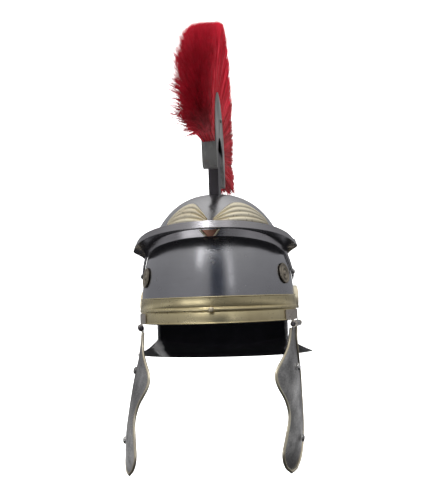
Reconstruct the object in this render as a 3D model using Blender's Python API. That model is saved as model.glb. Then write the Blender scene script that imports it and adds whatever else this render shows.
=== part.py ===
"""A Roman legionary helmet: bowl with neck guard, brow guard, hinged cheek guards and a crest.

Lengths are in metres. The front faces -Y, the wearer's left is +X and +Z is up.
The origin is the middle of the bowl's mouth, level with the bottom of the brow rim.
An azimuth is 0 at the front, 90 degrees at the wearer's left and 180 degrees at the nape.
"""
from math import atan2, cos, floor, pi, radians, sin, sqrt, tau

import bmesh
import bpy
from mathutils import Matrix, Vector

# Fits
GAP = 0.0004
WELD = 0.00001
OVERRUN = 0.002

# Bowl
BOWL_HALF_WIDTH = 0.104
BOWL_FRONT = 0.118
BOWL_BACK = 0.125
BOWL_HEIGHT = 0.173
BOWL_FULLNESS = 2.4
BOWL_WALL = 0.0014
BOWL_COLUMNS = 48
BOWL_ROWS = 12

# Ear openings, arches cut in the bowl's sides
EAR_CENTRE_Y = 0.026
EAR_HALF_WIDTH = 0.025
EAR_TOP = 0.044

# Nape and neck guard, one sheet with the bowl
NAPE_DROP_AT_EAR = 0.025
NAPE_DROP_AT_BACK = 0.040
NECK_HALF_WIDTH = 0.130
NECK_TIP_Y = 0.074
NECK_BACK_Y = 0.168
NECK_TIP_DROP = 0.049
NECK_BACK_DROP = 0.063
NECK_ROUNDNESS = 0.85
NAPE_ROWS = 2
NECK_ROWS = 4

# Brow band
BAND_BOTTOM = 0.0004
BAND_TOP = 0.033
BAND_THICKNESS = 0.0008
BAND_RIB_HEIGHT = 0.0172
BAND_RIB_HALF_WIDTH = 0.0022
BAND_RIB_RISE = 0.0016
BAND_END_AZIMUTH = radians(87)
BAND_COLUMNS = 29
BAND_STEP = 2 * BAND_END_AZIMUTH / BAND_COLUMNS

# Brow guard, a sheet with its rim turned up and its root turned down on the bowl
PEAK_SHEET = 0.0012
PEAK_DEPTH = 0.033
PEAK_EDGE_HEIGHT = BOWL_HEIGHT * 0.6584
PEAK_ROOT_HEIGHT = BOWL_HEIGHT * 0.6676
PEAK_RIM = 0.0088
PEAK_RIM_LEAN = 0.0012
PEAK_ROOT_FLANGE = 0.0095
PEAK_COLUMNS = 36
# Azimuth in degrees, then shares of the depth, the two heights, the rim and the root flange
PEAK_SECTIONS = (
    {"azimuth": 0, "depth": 1.00, "edge": 1.000, "root": 1.000, "rim": 1.00, "flange": 1.00},
    {"azimuth": 20, "depth": 0.97, "edge": 0.990, "root": 0.992, "rim": 1.00, "flange": 1.00},
    {"azimuth": 40, "depth": 0.88, "edge": 0.955, "root": 0.955, "rim": 0.98, "flange": 0.92},
    {"azimuth": 55, "depth": 0.79, "edge": 0.905, "root": 0.900, "rim": 0.95, "flange": 0.70},
    {"azimuth": 66, "depth": 0.68, "edge": 0.855, "root": 0.840, "rim": 0.88, "flange": 0.55},
    {"azimuth": 73, "depth": 0.58, "edge": 0.830, "root": 0.800, "rim": 0.80, "flange": 0.55},
    {"azimuth": 76, "depth": 0.12, "edge": 0.760, "root": 0.745, "rim": 0.40, "flange": 0.60},
    {"azimuth": 79, "depth": 0.09, "edge": 0.680, "root": 0.670, "rim": 0.35, "flange": 0.65},
    {"azimuth": 84, "depth": 0.09, "edge": 0.580, "root": 0.570, "rim": 0.35, "flange": 0.70},
    {"azimuth": 88, "depth": 0.09, "edge": 0.520, "root": 0.510, "rim": 0.35, "flange": 0.70},
)

# Brass tip at the middle of the brow guard's root flange
TIP_TOP_HALF_WIDTH = 0.0115
TIP_BOTTOM_HALF_WIDTH = 0.006
TIP_THICKNESS = 0.0010

# Eyebrows embossed on the dome
BROW_THICKNESS = 0.0010
BROW_RIDGE_RISE = 0.0016
BROW_RIDGES = 4
BROW_COLUMNS = 10
BROW_INNER_AZIMUTH = radians(2.5)
BROW_OUTER_AZIMUTH = {"left": radians(58), "right": radians(44)}
BROW_LOW = BOWL_HEIGHT * 0.705
BROW_RISE = BOWL_HEIGHT * 0.173
# Share of the way out, then shares of the rise for the lower and the upper edge
BROW_SECTIONS = (
    {"out": 0.00, "low": 0.00, "high": 0.20},
    {"out": 0.15, "low": 0.03, "high": 0.58},
    {"out": 0.32, "low": 0.06, "high": 0.88},
    {"out": 0.50, "low": 0.08, "high": 1.00},
    {"out": 0.72, "low": 0.06, "high": 0.92},
    {"out": 0.90, "low": 0.02, "high": 0.62},
    {"out": 1.00, "low": -0.02, "high": 0.28},
)

# Ear guards, angle strips round the ear openings
EAR_GUARD_SHEET = 0.0009
EAR_GUARD_FOOT = 0.0055
EAR_GUARD_REACH = 0.0075
EAR_GUARD_START = 0.014
EAR_GUARD_STEPS = 14

# Rosettes and rivets
ROSETTE_RADIUS = 0.0135
ROSETTE_AZIMUTH = radians(62)
ROSETTE_HEIGHT = 0.060
ROSETTE_RISE = 0.0022
RIVET_RADIUS = 0.0034
RIVET_RISE = 0.0026
PEAK_RIVET_AZIMUTH = radians(85.5)
ROUND_SIDES = 12
ROSETTE_SIDES = 16

# Cheek guard hinges
HINGE_AZIMUTH = radians(76)
HINGE_LENGTH = 0.044
KNUCKLE_RADIUS = 0.0042
PIN_RADIUS = 0.0015
PIN_FIT = 0.0003
PIN_HEAD_RADIUS = 0.0032
PIN_HEAD_LENGTH = 0.0016
MIDDLE_KNUCKLE_SHARE = 0.40
LEAF_SHEET = 0.0012
LEAF_TOP = 0.0135
LEAF_BOTTOM = 0.0012
LEAF_COLUMNS = 5
HINGE_DROP = KNUCKLE_RADIUS + 0.0008

# Cheek guards
CHEEK_LENGTH = 0.184
CHEEK_WIDTH = 0.100
CHEEK_SHEET = 0.0013
CHEEK_BEND_RADIUS = 0.150
CHEEK_BEND_CENTRE = 0.008
CHEEK_BEND_START = 0.050
CHEEK_TOP = 0.0054
CHEEK_INSET = KNUCKLE_RADIUS - CHEEK_SHEET / 2
CHEEK_ROWS = 17
CHEEK_COLUMNS = 6
EDGING_RADIUS = 0.0017
EDGING_SIDES = 6
REST_SWING = {"left": radians(-2.0), "right": radians(7.0)}
# Share of the length, then shares of the width for the front edge, the back edge and the bow outward
CHEEK_SECTIONS = (
    {"down": 0.00, "front": -0.22, "back": 0.22, "bow": 0.000},
    {"down": 0.10, "front": -0.27, "back": 0.24, "bow": 0.000},
    {"down": 0.20, "front": -0.43, "back": 0.31, "bow": 0.016},
    {"down": 0.30, "front": -0.58, "back": 0.40, "bow": 0.038},
    {"down": 0.38, "front": -0.57, "back": 0.45, "bow": 0.053},
    {"down": 0.50, "front": -0.43, "back": 0.48, "bow": 0.068},
    {"down": 0.61, "front": -0.38, "back": 0.48, "bow": 0.078},
    {"down": 0.73, "front": -0.46, "back": 0.46, "bow": 0.084},
    {"down": 0.85, "front": -0.51, "back": 0.38, "bow": 0.074},
    {"down": 0.94, "front": -0.42, "back": 0.20, "bow": 0.053},
    {"down": 1.00, "front": -0.24, "back": -0.02, "bow": 0.032},
)
BOSS_RADIUS = 0.0048
BOSS_RISE = 0.0034
# Share of the cheek guard's length, and of its width behind the hinge's middle
CHEEK_BOSSES = {"upper_boss": (0.29, 0.08), "lower_boss": (0.80, 0.08)}

# Crest
CREST_CENTRE_Y = 0.008
CREST_CENTRE_HEIGHT = 0.232
CREST_RADIUS = 0.087
CREST_END_HEIGHT = 0.199
CREST_THICKNESS = 0.019
CREST_SHEET = 0.0012
CREST_ARCH_RADIUS = 0.066
CREST_ARCH_CENTRE_HEIGHT = 0.189
CREST_STEPS = 26
PROW_TOP_HEIGHT = 0.237
POST_WIDTH = 0.0135
POST_FRONT_Y = -0.020
POST_BACK_Y = 0.030
POST_STEPS = 6
CREST_RIVET_Y = 0.014
CREST_RIVET_HEIGHT = 0.284

# Plume, a fan of bristle rooted in the crest
PLUME_RADIUS = 0.180
PLUME_ROOT_WIDTH = 0.0155
PLUME_TIP_WIDTH = 0.047
PLUME_FRONT_ANGLE = radians(-2)
PLUME_BACK_ANGLE = radians(188)
PLUME_LOCKS = 20
LOCK_DEPTH = 0.0045
LOCK_SIDE_DEPTH = 0.0022
# Share of the way from root to tip, and of the way from root width to tip width
PLUME_PROFILE = (
    {"up": 0.00, "wide": 0.00},
    {"up": 0.22, "wide": 0.20},
    {"up": 0.60, "wide": 0.68},
    {"up": 0.94, "wide": 1.00},
    {"up": 1.00, "wide": 0.88},
)
# Angle in degrees, then the share of the spread that is left on the wearer's left side
PLUME_TRIM = (
    {"angle": -2, "left": 0.15},
    {"angle": 18, "left": 0.25},
    {"angle": 45, "left": 0.75},
    {"angle": 70, "left": 1.00},
    {"angle": 188, "left": 1.00},
)

COLOURS = {
    "steel": ((0.36, 0.36, 0.38), 0.28, 1.0),
    "dark_steel": ((0.10, 0.10, 0.11), 0.42, 1.0),
    "brass": ((0.60, 0.48, 0.22), 0.28, 1.0),
    "aged_brass": ((0.22, 0.17, 0.12), 0.5, 1.0),
    "bristle": ((0.45, 0.01, 0.03), 0.8, 0.0),
}


# Reading the tables

def along(table, key, value, column):
    """Smooth curve through one column of a table at a value of its key."""
    last = len(table) - 1
    row = 0
    while row < last - 1 and value > table[row + 1][key]:
        row += 1
    start, end = table[row], table[row + 1]
    span = end[key] - start[key]
    share = min(max((value - start[key]) / span, 0.0), 1.0)
    before, after = table[max(row - 1, 0)], table[min(row + 2, last)]
    slope_in = (end[column] - before[column]) / (end[key] - before[key]) * span
    slope_out = (after[column] - start[column]) / (after[key] - start[key]) * span
    cube, square = share ** 3, share ** 2
    return (
        (2 * cube - 3 * square + 1) * start[column]
        + (cube - 2 * square + share) * slope_in
        + (3 * square - 2 * cube) * end[column]
        + (cube - square) * slope_out
    )


def spread(start, end, steps):
    """Evenly spaced values from start to end, both included."""
    return [start + (end - start) * step / steps for step in range(steps + 1)]


# The bowl's outer face

def bowl_scale(height):
    """Share of the mouth's size that is left at a height."""
    share = min(max(height / BOWL_HEIGHT, 0.0), 1.0)
    return (1.0 - share ** BOWL_FULLNESS) ** (1.0 / BOWL_FULLNESS)


def bowl_length(azimuth):
    """Half length of the mouth, which is longer behind the ears."""
    return BOWL_FRONT if cos(azimuth) > 0 else BOWL_BACK


def bowl_outward(azimuth):
    """Level direction that points straight out of the bowl's wall."""
    length = bowl_length(azimuth)
    return Vector((sin(azimuth) / BOWL_HALF_WIDTH, -cos(azimuth) / length, 0)).normalized()


def bowl_normal(azimuth, height):
    """Direction straight out of the bowl's outer face."""
    scale = max(bowl_scale(height), 0.02)
    length = bowl_length(azimuth)
    power = BOWL_FULLNESS - 1
    level = scale ** power
    upward = max(height, 0.0) / BOWL_HEIGHT
    across = level * sin(azimuth) / BOWL_HALF_WIDTH
    ahead = -level * cos(azimuth) / length
    return Vector((across, ahead, upward ** power / BOWL_HEIGHT)).normalized()


def bowl_point(azimuth, height, out=0.0):
    """Point at a distance out from the bowl's outer face."""
    scale = bowl_scale(height)
    across = BOWL_HALF_WIDTH * scale * sin(azimuth)
    ahead = -bowl_length(azimuth) * scale * cos(azimuth)
    return Vector((across, ahead, height)) + bowl_normal(azimuth, height) * out


def bowl_azimuth_at(y, height):
    """Azimuth on the wearer's left where the bowl's face crosses a Y value."""
    length = BOWL_FRONT if y < 0 else BOWL_BACK
    share = min(max(-y / (length * bowl_scale(height)), -1.0), 1.0)
    return atan2(sqrt(1 - share ** 2), share)


# Mesh helpers

def add_grid(mesh, across, up, point):
    """Add a grid of faces whose corner in column u and row v is point(u, v)."""
    made = bmesh.ops.create_grid(mesh, x_segments=len(across) - 1, y_segments=len(up) - 1, size=1)
    places = [point(u, v) for v in up for u in across]
    for vertex, place in zip(made["verts"], places):
        vertex.co = place


def solid_from_rings(rings, closed=False):
    """Closed solid whose skin joins one ring of points to the next."""
    mesh = bmesh.new()
    count = len(rings[0])
    stations = rings + rings[:1] if closed else rings
    columns = range(count + 1)
    add_grid(mesh, columns, range(len(stations)), lambda u, v: stations[v][u % count])
    bmesh.ops.remove_doubles(mesh, verts=mesh.verts[:], dist=WELD)
    rim = [edge for edge in mesh.edges if edge.is_boundary]
    if rim:
        bmesh.ops.holes_fill(mesh, edges=rim, sides=0)
    bmesh.ops.recalc_face_normals(mesh, faces=mesh.faces[:])
    return mesh


def turned_solid(profile, sides=ROUND_SIDES):
    """Solid turned about +Z from (radius, height) points that start and end on the axis."""
    rings = []
    for radius, height in profile:
        reach = max(radius, WELD / 10)
        rings.append([Vector((reach * cos(a), reach * sin(a), height)) for a in spread(0, tau, sides)[:-1]])
    return solid_from_rings(rings)


def tube_solid(length, outer, inner, sides=ROUND_SIDES):
    """Tube about the Y axis, centred on the origin."""
    corners = ((outer, -length / 2), (outer, length / 2), (inner, length / 2), (inner, -length / 2))
    rings = []
    for angle in spread(0, tau, sides)[:-1]:
        rings.append([Vector((r * cos(angle), y, r * sin(angle))) for r, y in corners])
    return solid_from_rings(rings, closed=True)


def box_solid(low, high):
    """Box between two corners."""
    mesh = bmesh.new()
    size = Vector(high) - Vector(low)
    bmesh.ops.create_cube(mesh, size=1)
    bmesh.ops.scale(mesh, vec=size, verts=mesh.verts[:])
    bmesh.ops.translate(mesh, vec=Vector(low) + size / 2, verts=mesh.verts[:])
    return mesh


def prism_solid(outline, half_width):
    """Outline of (y, z) points pushed out to both sides along X."""
    ends = [[Vector((x, y, z)) for y, z in outline] for x in (-half_width, half_width)]
    return solid_from_rings(ends)


def dome_profile(radius, rise, steps=3):
    """Half section of a domed rivet head with a short straight edge."""
    edge = rise * 0.25
    arc = [(radius * cos(a), edge + (rise - edge) * sin(a)) for a in spread(0, pi / 2, steps)]
    return [(0, 0), (radius, 0)] + arc[:-1] + [(0, rise)]


# Object helpers

def make_material(name):
    """Principled material in one of the helmet's colours."""
    material = bpy.data.materials.new(name)
    material.use_nodes = True
    colour, roughness, metallic = COLOURS[name.split("-")[0]]
    shader = material.node_tree.nodes["Principled BSDF"]
    shader.inputs["Base Color"].default_value = (*colour, 1)
    shader.inputs["Roughness"].default_value = roughness
    shader.inputs["Metallic"].default_value = metallic
    material.diffuse_color = (*colour, 1)
    return material


def make_object(name, mesh, colour, parent=None):
    """Object with its own material, shaded smooth apart from its creases."""
    data = bpy.data.meshes.new(name)
    mesh.to_mesh(data)
    mesh.free()
    data.materials.append(make_material(colour + "-" + name))
    data.shade_smooth()
    data.set_sharp_from_angle(angle=radians(38))
    made = bpy.data.objects.new(name, data)
    bpy.context.collection.objects.link(made)
    made.parent = parent
    return made


def make_cutter(name, mesh, parent=None):
    """Guide solid that only serves a Boolean."""
    cutter = make_object(name, mesh, "dark_steel", parent)
    cutter.hide_render = True
    cutter.display_type = "WIRE"
    return cutter


def boolean(target, operation, other):
    """Join another solid to the target, or cut it away."""
    step = target.modifiers.new(other.name, "BOOLEAN")
    step.operation = operation
    step.solver = "EXACT"
    step.object = other


def set_on_bowl(made, azimuth, height, out):
    """Seat a turned piece on the bowl with its axis along the surface normal."""
    normal = bowl_normal(azimuth, height)
    made.location = bowl_point(azimuth, height, out)
    made.rotation_euler = normal.to_track_quat("Z", "Y").to_euler()


# Bowl and neck guard

def neck_start():
    """Column of the bowl where the nape begins, hidden in the ear opening."""
    step = tau / BOWL_COLUMNS
    column = floor(bowl_azimuth_at(EAR_CENTRE_Y + EAR_HALF_WIDTH, 0) / step)
    return column


def nape_share(azimuth):
    """0 at the ears and 1 at the middle of the nape."""
    start = neck_start() * tau / BOWL_COLUMNS
    return max(1 - abs(azimuth - pi) / (pi - start), 0.0)


def nape_drop(azimuth):
    """Depth of the line where the nape turns out into the neck guard."""
    share = sin(nape_share(azimuth) * pi / 2)
    return NAPE_DROP_AT_EAR + (NAPE_DROP_AT_BACK - NAPE_DROP_AT_EAR) * share


def neck_point(azimuth, share):
    """Point on the neck guard, from the nape line at share 0 to its outer edge at share 1."""
    turn = nape_share(azimuth) * pi / 2
    side = 1 if azimuth < pi else -1
    drop = nape_drop(azimuth)
    edge_drop = NECK_TIP_DROP + (NECK_BACK_DROP - NECK_TIP_DROP) * sin(turn)
    reach = NECK_BACK_Y - NECK_TIP_Y
    root = bowl_point(azimuth, 0)
    root.z = -drop
    edge = Vector((
        side * NECK_HALF_WIDTH * max(cos(turn), 0.0) ** NECK_ROUNDNESS,
        NECK_TIP_Y + reach * sin(turn) ** NECK_ROUNDNESS,
        -edge_drop,
    ))
    turn_down = (edge_drop - drop) * 0.45
    bend = root + (edge - root) * 0.12
    bend.z = root.z - turn_down
    return root * (1 - share) ** 2 + bend * 2 * share * (1 - share) + edge * share ** 2


def make_bowl():
    """Raised steel bowl with the neck guard, hollow and open below."""
    mesh = bmesh.new()
    azimuths = spread(0, tau, BOWL_COLUMNS)
    power = 2 / BOWL_FULLNESS

    def dome_point(azimuth, elevation):
        return bowl_point(azimuth, BOWL_HEIGHT * sin(elevation) ** power)

    def nape_point(azimuth, share):
        root = bowl_point(azimuth, 0)
        root.z = -nape_drop(azimuth) * (1 - share)
        return root

    def guard_point(azimuth, share):
        return neck_point(azimuth, 1 - share)

    add_grid(mesh, azimuths, spread(0, pi / 2, BOWL_ROWS), dome_point)
    first = neck_start()
    nape = azimuths[first:BOWL_COLUMNS - first + 1]
    add_grid(mesh, nape, spread(0, 1, NAPE_ROWS), nape_point)
    add_grid(mesh, nape, spread(0, 1, NECK_ROWS), guard_point)
    bmesh.ops.remove_doubles(mesh, verts=mesh.verts[:], dist=WELD)
    bowl = make_object("bowl", mesh, "steel")
    wall = bowl.modifiers.new("wall", "SOLIDIFY")
    wall.thickness = BOWL_WALL
    wall.offset = -1
    wall.use_even_offset = True
    opening = make_cutter("ear_opening", prism_solid(ear_outline(), NECK_HALF_WIDTH + OVERRUN))
    boolean(bowl, "DIFFERENCE", opening)
    return bowl


def ear_outline():
    """Side view of the ear opening, an arch that is open below."""
    spring = EAR_TOP - EAR_HALF_WIDTH
    arch = spread(0, pi, EAR_GUARD_STEPS)
    outline = [(EAR_CENTRE_Y + EAR_HALF_WIDTH * cos(a), spring + EAR_HALF_WIDTH * sin(a)) for a in arch]
    bottom = -NECK_BACK_DROP - OVERRUN
    outline.append((EAR_CENTRE_Y - EAR_HALF_WIDTH, bottom))
    outline.append((EAR_CENTRE_Y + EAR_HALF_WIDTH, bottom))
    return outline


# Brow band

def make_brow_band():
    """Brass strip round the brow with a raised rib."""
    inner = GAP
    outer = GAP + BAND_THICKNESS
    rib = outer + BAND_RIB_RISE
    low_side = BAND_RIB_HEIGHT - BAND_RIB_HALF_WIDTH
    high_side = BAND_RIB_HEIGHT + BAND_RIB_HALF_WIDTH
    middle = (BAND_TOP + high_side) / 2
    profile = (
        (BAND_BOTTOM, inner),
        (BAND_BOTTOM, outer),
        (low_side, outer),
        (BAND_RIB_HEIGHT, rib),
        (high_side, outer),
        (middle, outer),
        (BAND_TOP, outer),
        (BAND_TOP, inner),
        (middle, inner),
        (BAND_RIB_HEIGHT, inner),
    )
    rings = []
    for azimuth in spread(-BAND_END_AZIMUTH, BAND_END_AZIMUTH, BAND_COLUMNS):
        rings.append([bowl_point(azimuth, height, out) for height, out in profile])
    return make_object("brow_band", solid_from_rings(rings), "brass")


# Brow guard

def flange_point(azimuth, foot, height, out):
    """Point on the upright face of the root flange, whose foot rests on the bowl."""
    place = bowl_point(azimuth, foot, GAP) + bowl_outward(azimuth) * out
    place.z = height
    return place


def peak_section(azimuth):
    """Ring of points round the brow guard's bent sheet at one azimuth."""
    def share(column):
        return along(PEAK_SECTIONS, "azimuth", abs(azimuth) * 180 / pi, column)

    edge_height = PEAK_EDGE_HEIGHT * share("edge")
    root_height = PEAK_ROOT_HEIGHT * share("root")
    rim_top = edge_height + PEAK_RIM * share("rim")
    foot = root_height - PEAK_ROOT_FLANGE * share("flange")
    lean = PEAK_RIM_LEAN * share("rim")
    outward = bowl_outward(azimuth)
    depth = PEAK_DEPTH * share("depth")
    base = bowl_point(azimuth, root_height)

    def beside(height, out):
        return bowl_point(azimuth, height, out)

    def reached(height, out):
        place = base + outward * out
        place.z = height
        return place

    return [
        beside(foot, GAP),
        beside(root_height + PEAK_SHEET, GAP),
        reached(edge_height + PEAK_SHEET, depth - PEAK_SHEET),
        reached(rim_top, depth - PEAK_SHEET - lean),
        reached(rim_top, depth - lean),
        reached(edge_height, depth),
        flange_point(azimuth, foot, root_height, PEAK_SHEET),
        flange_point(azimuth, foot, foot, PEAK_SHEET),
    ]


def make_brow_guard():
    """Steel brow guard that stands out round the front of the bowl."""
    end = radians(PEAK_SECTIONS[-1]["azimuth"])
    rings = [peak_section(azimuth) for azimuth in spread(-end, end, PEAK_COLUMNS)]
    return make_object("brow_guard", solid_from_rings(rings), "steel")


def make_brow_tip():
    """Brass tip that hangs over the brow guard's root flange."""
    top = PEAK_ROOT_HEIGHT - GAP * 4
    bottom = PEAK_ROOT_HEIGHT - PEAK_ROOT_FLANGE
    inner = PEAK_SHEET + GAP
    outer = inner + TIP_THICKNESS
    rings = []
    for share in spread(-1, 1, 4):
        top_azimuth = share * TIP_TOP_HALF_WIDTH / BOWL_FRONT
        bottom_azimuth = share * TIP_BOTTOM_HALF_WIDTH / BOWL_FRONT
        rings.append([
            flange_point(bottom_azimuth, bottom, bottom, inner),
            flange_point(bottom_azimuth, bottom, bottom, outer),
            flange_point(top_azimuth, bottom, top, outer),
            flange_point(top_azimuth, bottom, top, inner),
        ])
    return make_object("brow_tip", solid_from_rings(rings), "brass")


# Eyebrows

def brow_place(label, out_share, up_share, out):
    """Point over an eyebrow, across it from its lower edge to its upper edge."""
    side = 1 if label == "left" else -1
    azimuth = BROW_INNER_AZIMUTH + (BROW_OUTER_AZIMUTH[label] - BROW_INNER_AZIMUTH) * out_share
    low = BROW_LOW + BROW_RISE * along(BROW_SECTIONS, "out", out_share, "low")
    high = BROW_LOW + BROW_RISE * along(BROW_SECTIONS, "out", out_share, "high")
    return bowl_point(side * azimuth, low + (high - low) * up_share, out)


def make_eyebrow(label):
    """Brass eyebrow with ridges that fan out from the middle of the brow."""
    ups = spread(0, 1, 2 * BROW_RIDGES)
    inner = GAP * 2
    outer = inner + BROW_THICKNESS
    rings = []
    for out_share in spread(0, 1, BROW_COLUMNS):
        front = [
            brow_place(label, out_share, up, outer + BROW_RIDGE_RISE * (step % 2))
            for step, up in enumerate(ups)
        ]
        back = [brow_place(label, out_share, up, inner) for up in reversed(ups)]
        rings.append(front + back)
    return make_object("eyebrow_" + label, solid_from_rings(rings), "brass")


# Ear guards

def ear_guard_point(side, angle, leg, away, out):
    """Point beside the ear opening, away from its edge and out from the bowl."""
    spring = EAR_TOP - EAR_HALF_WIDTH
    radius = EAR_HALF_WIDTH + away
    y = EAR_CENTRE_Y + radius * cos(angle)
    height = spring + radius * sin(angle) - leg
    azimuth = bowl_azimuth_at(y, height)
    place = bowl_point(azimuth, height, out)
    place.x *= side
    return place


def make_ear_guard(name, side):
    """Brass angle strip that stands out round the top of an ear opening."""
    spring = EAR_TOP - EAR_HALF_WIDTH
    leg = spring - EAR_GUARD_START
    stations = [(0, leg)] + [(angle, 0) for angle in spread(0, pi, EAR_GUARD_STEPS)] + [(pi, leg)]
    rings = []
    for angle, drop in stations:
        reach = EAR_GUARD_REACH * (0.70 + 0.30 * sin(angle))
        corners = (
            (GAP, GAP),
            (EAR_GUARD_FOOT, GAP),
            (EAR_GUARD_FOOT, GAP + EAR_GUARD_SHEET),
            (GAP + EAR_GUARD_SHEET, GAP + EAR_GUARD_SHEET),
            (GAP + EAR_GUARD_SHEET, reach),
            (GAP, reach),
        )
        rings.append([ear_guard_point(side, angle, drop, away, out) for away, out in corners])
    return make_object(name, solid_from_rings(rings), "brass")


# Rosettes and rivets

def rosette_profile():
    """Half section of a rosette: a rim, a groove, a ring and a central boss."""
    radius = ROSETTE_RADIUS
    rise = ROSETTE_RISE
    return [
        (0, 0),
        (radius, 0),
        (radius, rise * 0.45),
        (radius * 0.90, rise * 0.80),
        (radius * 0.78, rise * 0.45),
        (radius * 0.60, rise * 0.45),
        (radius * 0.50, rise * 0.90),
        (radius * 0.40, rise * 0.45),
        (radius * 0.24, rise * 0.55),
        (0, rise * 1.2),
    ]


def make_bowl_fittings():
    """Rosettes and rivets on the bowl, the brow band and the brow guard."""
    band_face = GAP * 2 + BAND_THICKNESS + BAND_RIB_RISE
    centre = make_object("brow_rivet", turned_solid(dome_profile(RIVET_RADIUS, RIVET_RISE)), "brass")
    set_on_bowl(centre, 0, BAND_RIB_HEIGHT, band_face)
    for label, side in (("left", 1), ("right", -1)):
        rosette = make_object("rosette_" + label, turned_solid(rosette_profile(), ROSETTE_SIDES), "aged_brass")
        set_on_bowl(rosette, side * ROSETTE_AZIMUTH, ROSETTE_HEIGHT, GAP)
        rivet = make_object("peak_rivet_" + label, turned_solid(dome_profile(RIVET_RADIUS, RIVET_RISE)), "steel")
        share = along(PEAK_SECTIONS, "azimuth", PEAK_RIVET_AZIMUTH * 180 / pi, "edge")
        depth = along(PEAK_SECTIONS, "azimuth", PEAK_RIVET_AZIMUTH * 180 / pi, "depth")
        set_on_bowl(rivet, side * PEAK_RIVET_AZIMUTH, PEAK_EDGE_HEIGHT * share, PEAK_DEPTH * depth + GAP)


# Cheek guard hinges

def leaf_out():
    """Distance from the bowl to the middle of the hinge leaf's sheet."""
    return GAP + BAND_THICKNESS + GAP + LEAF_SHEET / 2


def hinge_pivot(name, side, swing=0.0):
    """Empty on a cheek guard's hinge axis, its Y along the axis and side * X outward."""
    outward = bowl_outward(HINGE_AZIMUTH)
    toe_in = atan2(-outward.y, outward.x)
    pivot = bpy.data.objects.new(name, None)
    bpy.context.collection.objects.link(pivot)
    centre = bowl_point(HINGE_AZIMUTH, 0, leaf_out())
    pivot.location = (side * centre.x, centre.y, -HINGE_DROP)
    pivot.rotation_euler = (0, -side * swing, -side * toe_in)
    return pivot


def leaf_strip(side, azimuths, bottom, top, half_sheet):
    """Strip of the hinge leaf's sheet that follows the bowl."""
    rings = []
    for azimuth in azimuths:
        ring = [
            bowl_point(azimuth, height, leaf_out() + shift)
            for height, shift in ((bottom, -half_sheet), (bottom, half_sheet), (top, half_sheet), (top, -half_sheet))
        ]
        rings.append([Vector((side * point.x, point.y, point.z)) for point in ring])
    return solid_from_rings(rings)


def make_hinge_leaf(label, side):
    """Steel hinge leaf on the brow band, rolled into two knuckles below the rim."""
    rib_foot = BAND_RIB_HEIGHT - BAND_RIB_HALF_WIDTH - GAP
    front = BAND_END_AZIMUTH - LEAF_COLUMNS * BAND_STEP
    azimuths = spread(front, BAND_END_AZIMUTH, LEAF_COLUMNS)
    strip = leaf_strip(side, azimuths, LEAF_BOTTOM, min(LEAF_TOP, rib_foot), LEAF_SHEET / 2)
    leaf = make_object("hinge_leaf_" + label, strip, "steel")
    pivot = hinge_pivot("hinge_axis_" + label, side)
    middle = HINGE_LENGTH * MIDDLE_KNUCKLE_SHARE
    length = (HINGE_LENGTH - middle) / 2 - GAP
    offset = (HINGE_LENGTH - length) / 2
    for place, shift in (("front", -offset), ("back", offset)):
        ends = [
            bowl_azimuth_at(pivot.location.y + shift + reach * length * 0.4, 0)
            for reach in (-1, 1)
        ]
        foot = PIN_RADIUS * 1.8 - HINGE_DROP
        strip = leaf_strip(side, ends, foot, LEAF_BOTTOM * 3, LEAF_SHEET * 0.4)
        tongue = make_cutter("leaf_" + place + "_tongue_" + label, strip)
        knuckle = tube_solid(length, KNUCKLE_RADIUS, PIN_RADIUS + PIN_FIT)
        bmesh.ops.translate(knuckle, vec=(0, shift, 0), verts=knuckle.verts[:])
        roll = make_cutter("leaf_" + place + "_knuckle_" + label, knuckle, pivot)
        boolean(leaf, "UNION", tongue)
        boolean(leaf, "UNION", roll)
    half = HINGE_LENGTH / 2 + GAP
    profile = (
        (0, -half - PIN_HEAD_LENGTH),
        (PIN_HEAD_RADIUS * 0.6, -half - PIN_HEAD_LENGTH),
        (PIN_HEAD_RADIUS, -half - PIN_HEAD_LENGTH * 0.5),
        (PIN_HEAD_RADIUS, -half),
        (PIN_RADIUS, -half),
        (PIN_RADIUS, half),
        (PIN_HEAD_RADIUS, half),
        (PIN_HEAD_RADIUS, half + PIN_HEAD_LENGTH * 0.5),
        (PIN_HEAD_RADIUS * 0.6, half + PIN_HEAD_LENGTH),
        (0, half + PIN_HEAD_LENGTH),
    )
    rod = turned_solid(profile, sides=12)
    bmesh.ops.rotate(rod, matrix=Matrix.Rotation(-pi / 2, 3, "X"), verts=rod.verts[:])
    make_object("hinge_pin_" + label, rod, "dark_steel", pivot)


# Cheek guards

def cheek_bend(back, down):
    """How far the plate curves in towards the face."""
    start = min(max((down - CHEEK_TOP) / CHEEK_BEND_START, 0.0), 1.0)
    ease = start * start * (3 - 2 * start)
    reach = back - CHEEK_BEND_CENTRE
    return ease * (CHEEK_BEND_RADIUS - sqrt(CHEEK_BEND_RADIUS ** 2 - reach ** 2))


def cheek_bow(down):
    """How far the plate's middle stands out from the hinge axis."""
    share = (down - CHEEK_TOP) / (CHEEK_LENGTH - CHEEK_TOP)
    return CHEEK_WIDTH * along(CHEEK_SECTIONS, "down", share, "bow") - CHEEK_INSET


def cheek_point(side, back, down, out=0.0):
    """Point in the hinge's frame: back along the axis, down the plate and out from its middle."""
    return Vector((side * (out + cheek_bow(down) - cheek_bend(back, down)), back, -down))


def cheek_edge(share, column):
    """Distance of the plate's front or back edge behind the hinge's middle."""
    return CHEEK_WIDTH * along(CHEEK_SECTIONS, "down", share, column)


def cheek_down(share):
    """Distance down the plate at a share of its length."""
    return CHEEK_TOP + (CHEEK_LENGTH - CHEEK_TOP) * share


def cheek_outline():
    """Share and column pairs down the front edge, round the chin and up the back edge."""
    shares = spread(0, 1, CHEEK_ROWS)
    outline = [(share, "front") for share in shares]
    outline += [(share, "back") for share in reversed(shares)]
    return outline


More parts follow.
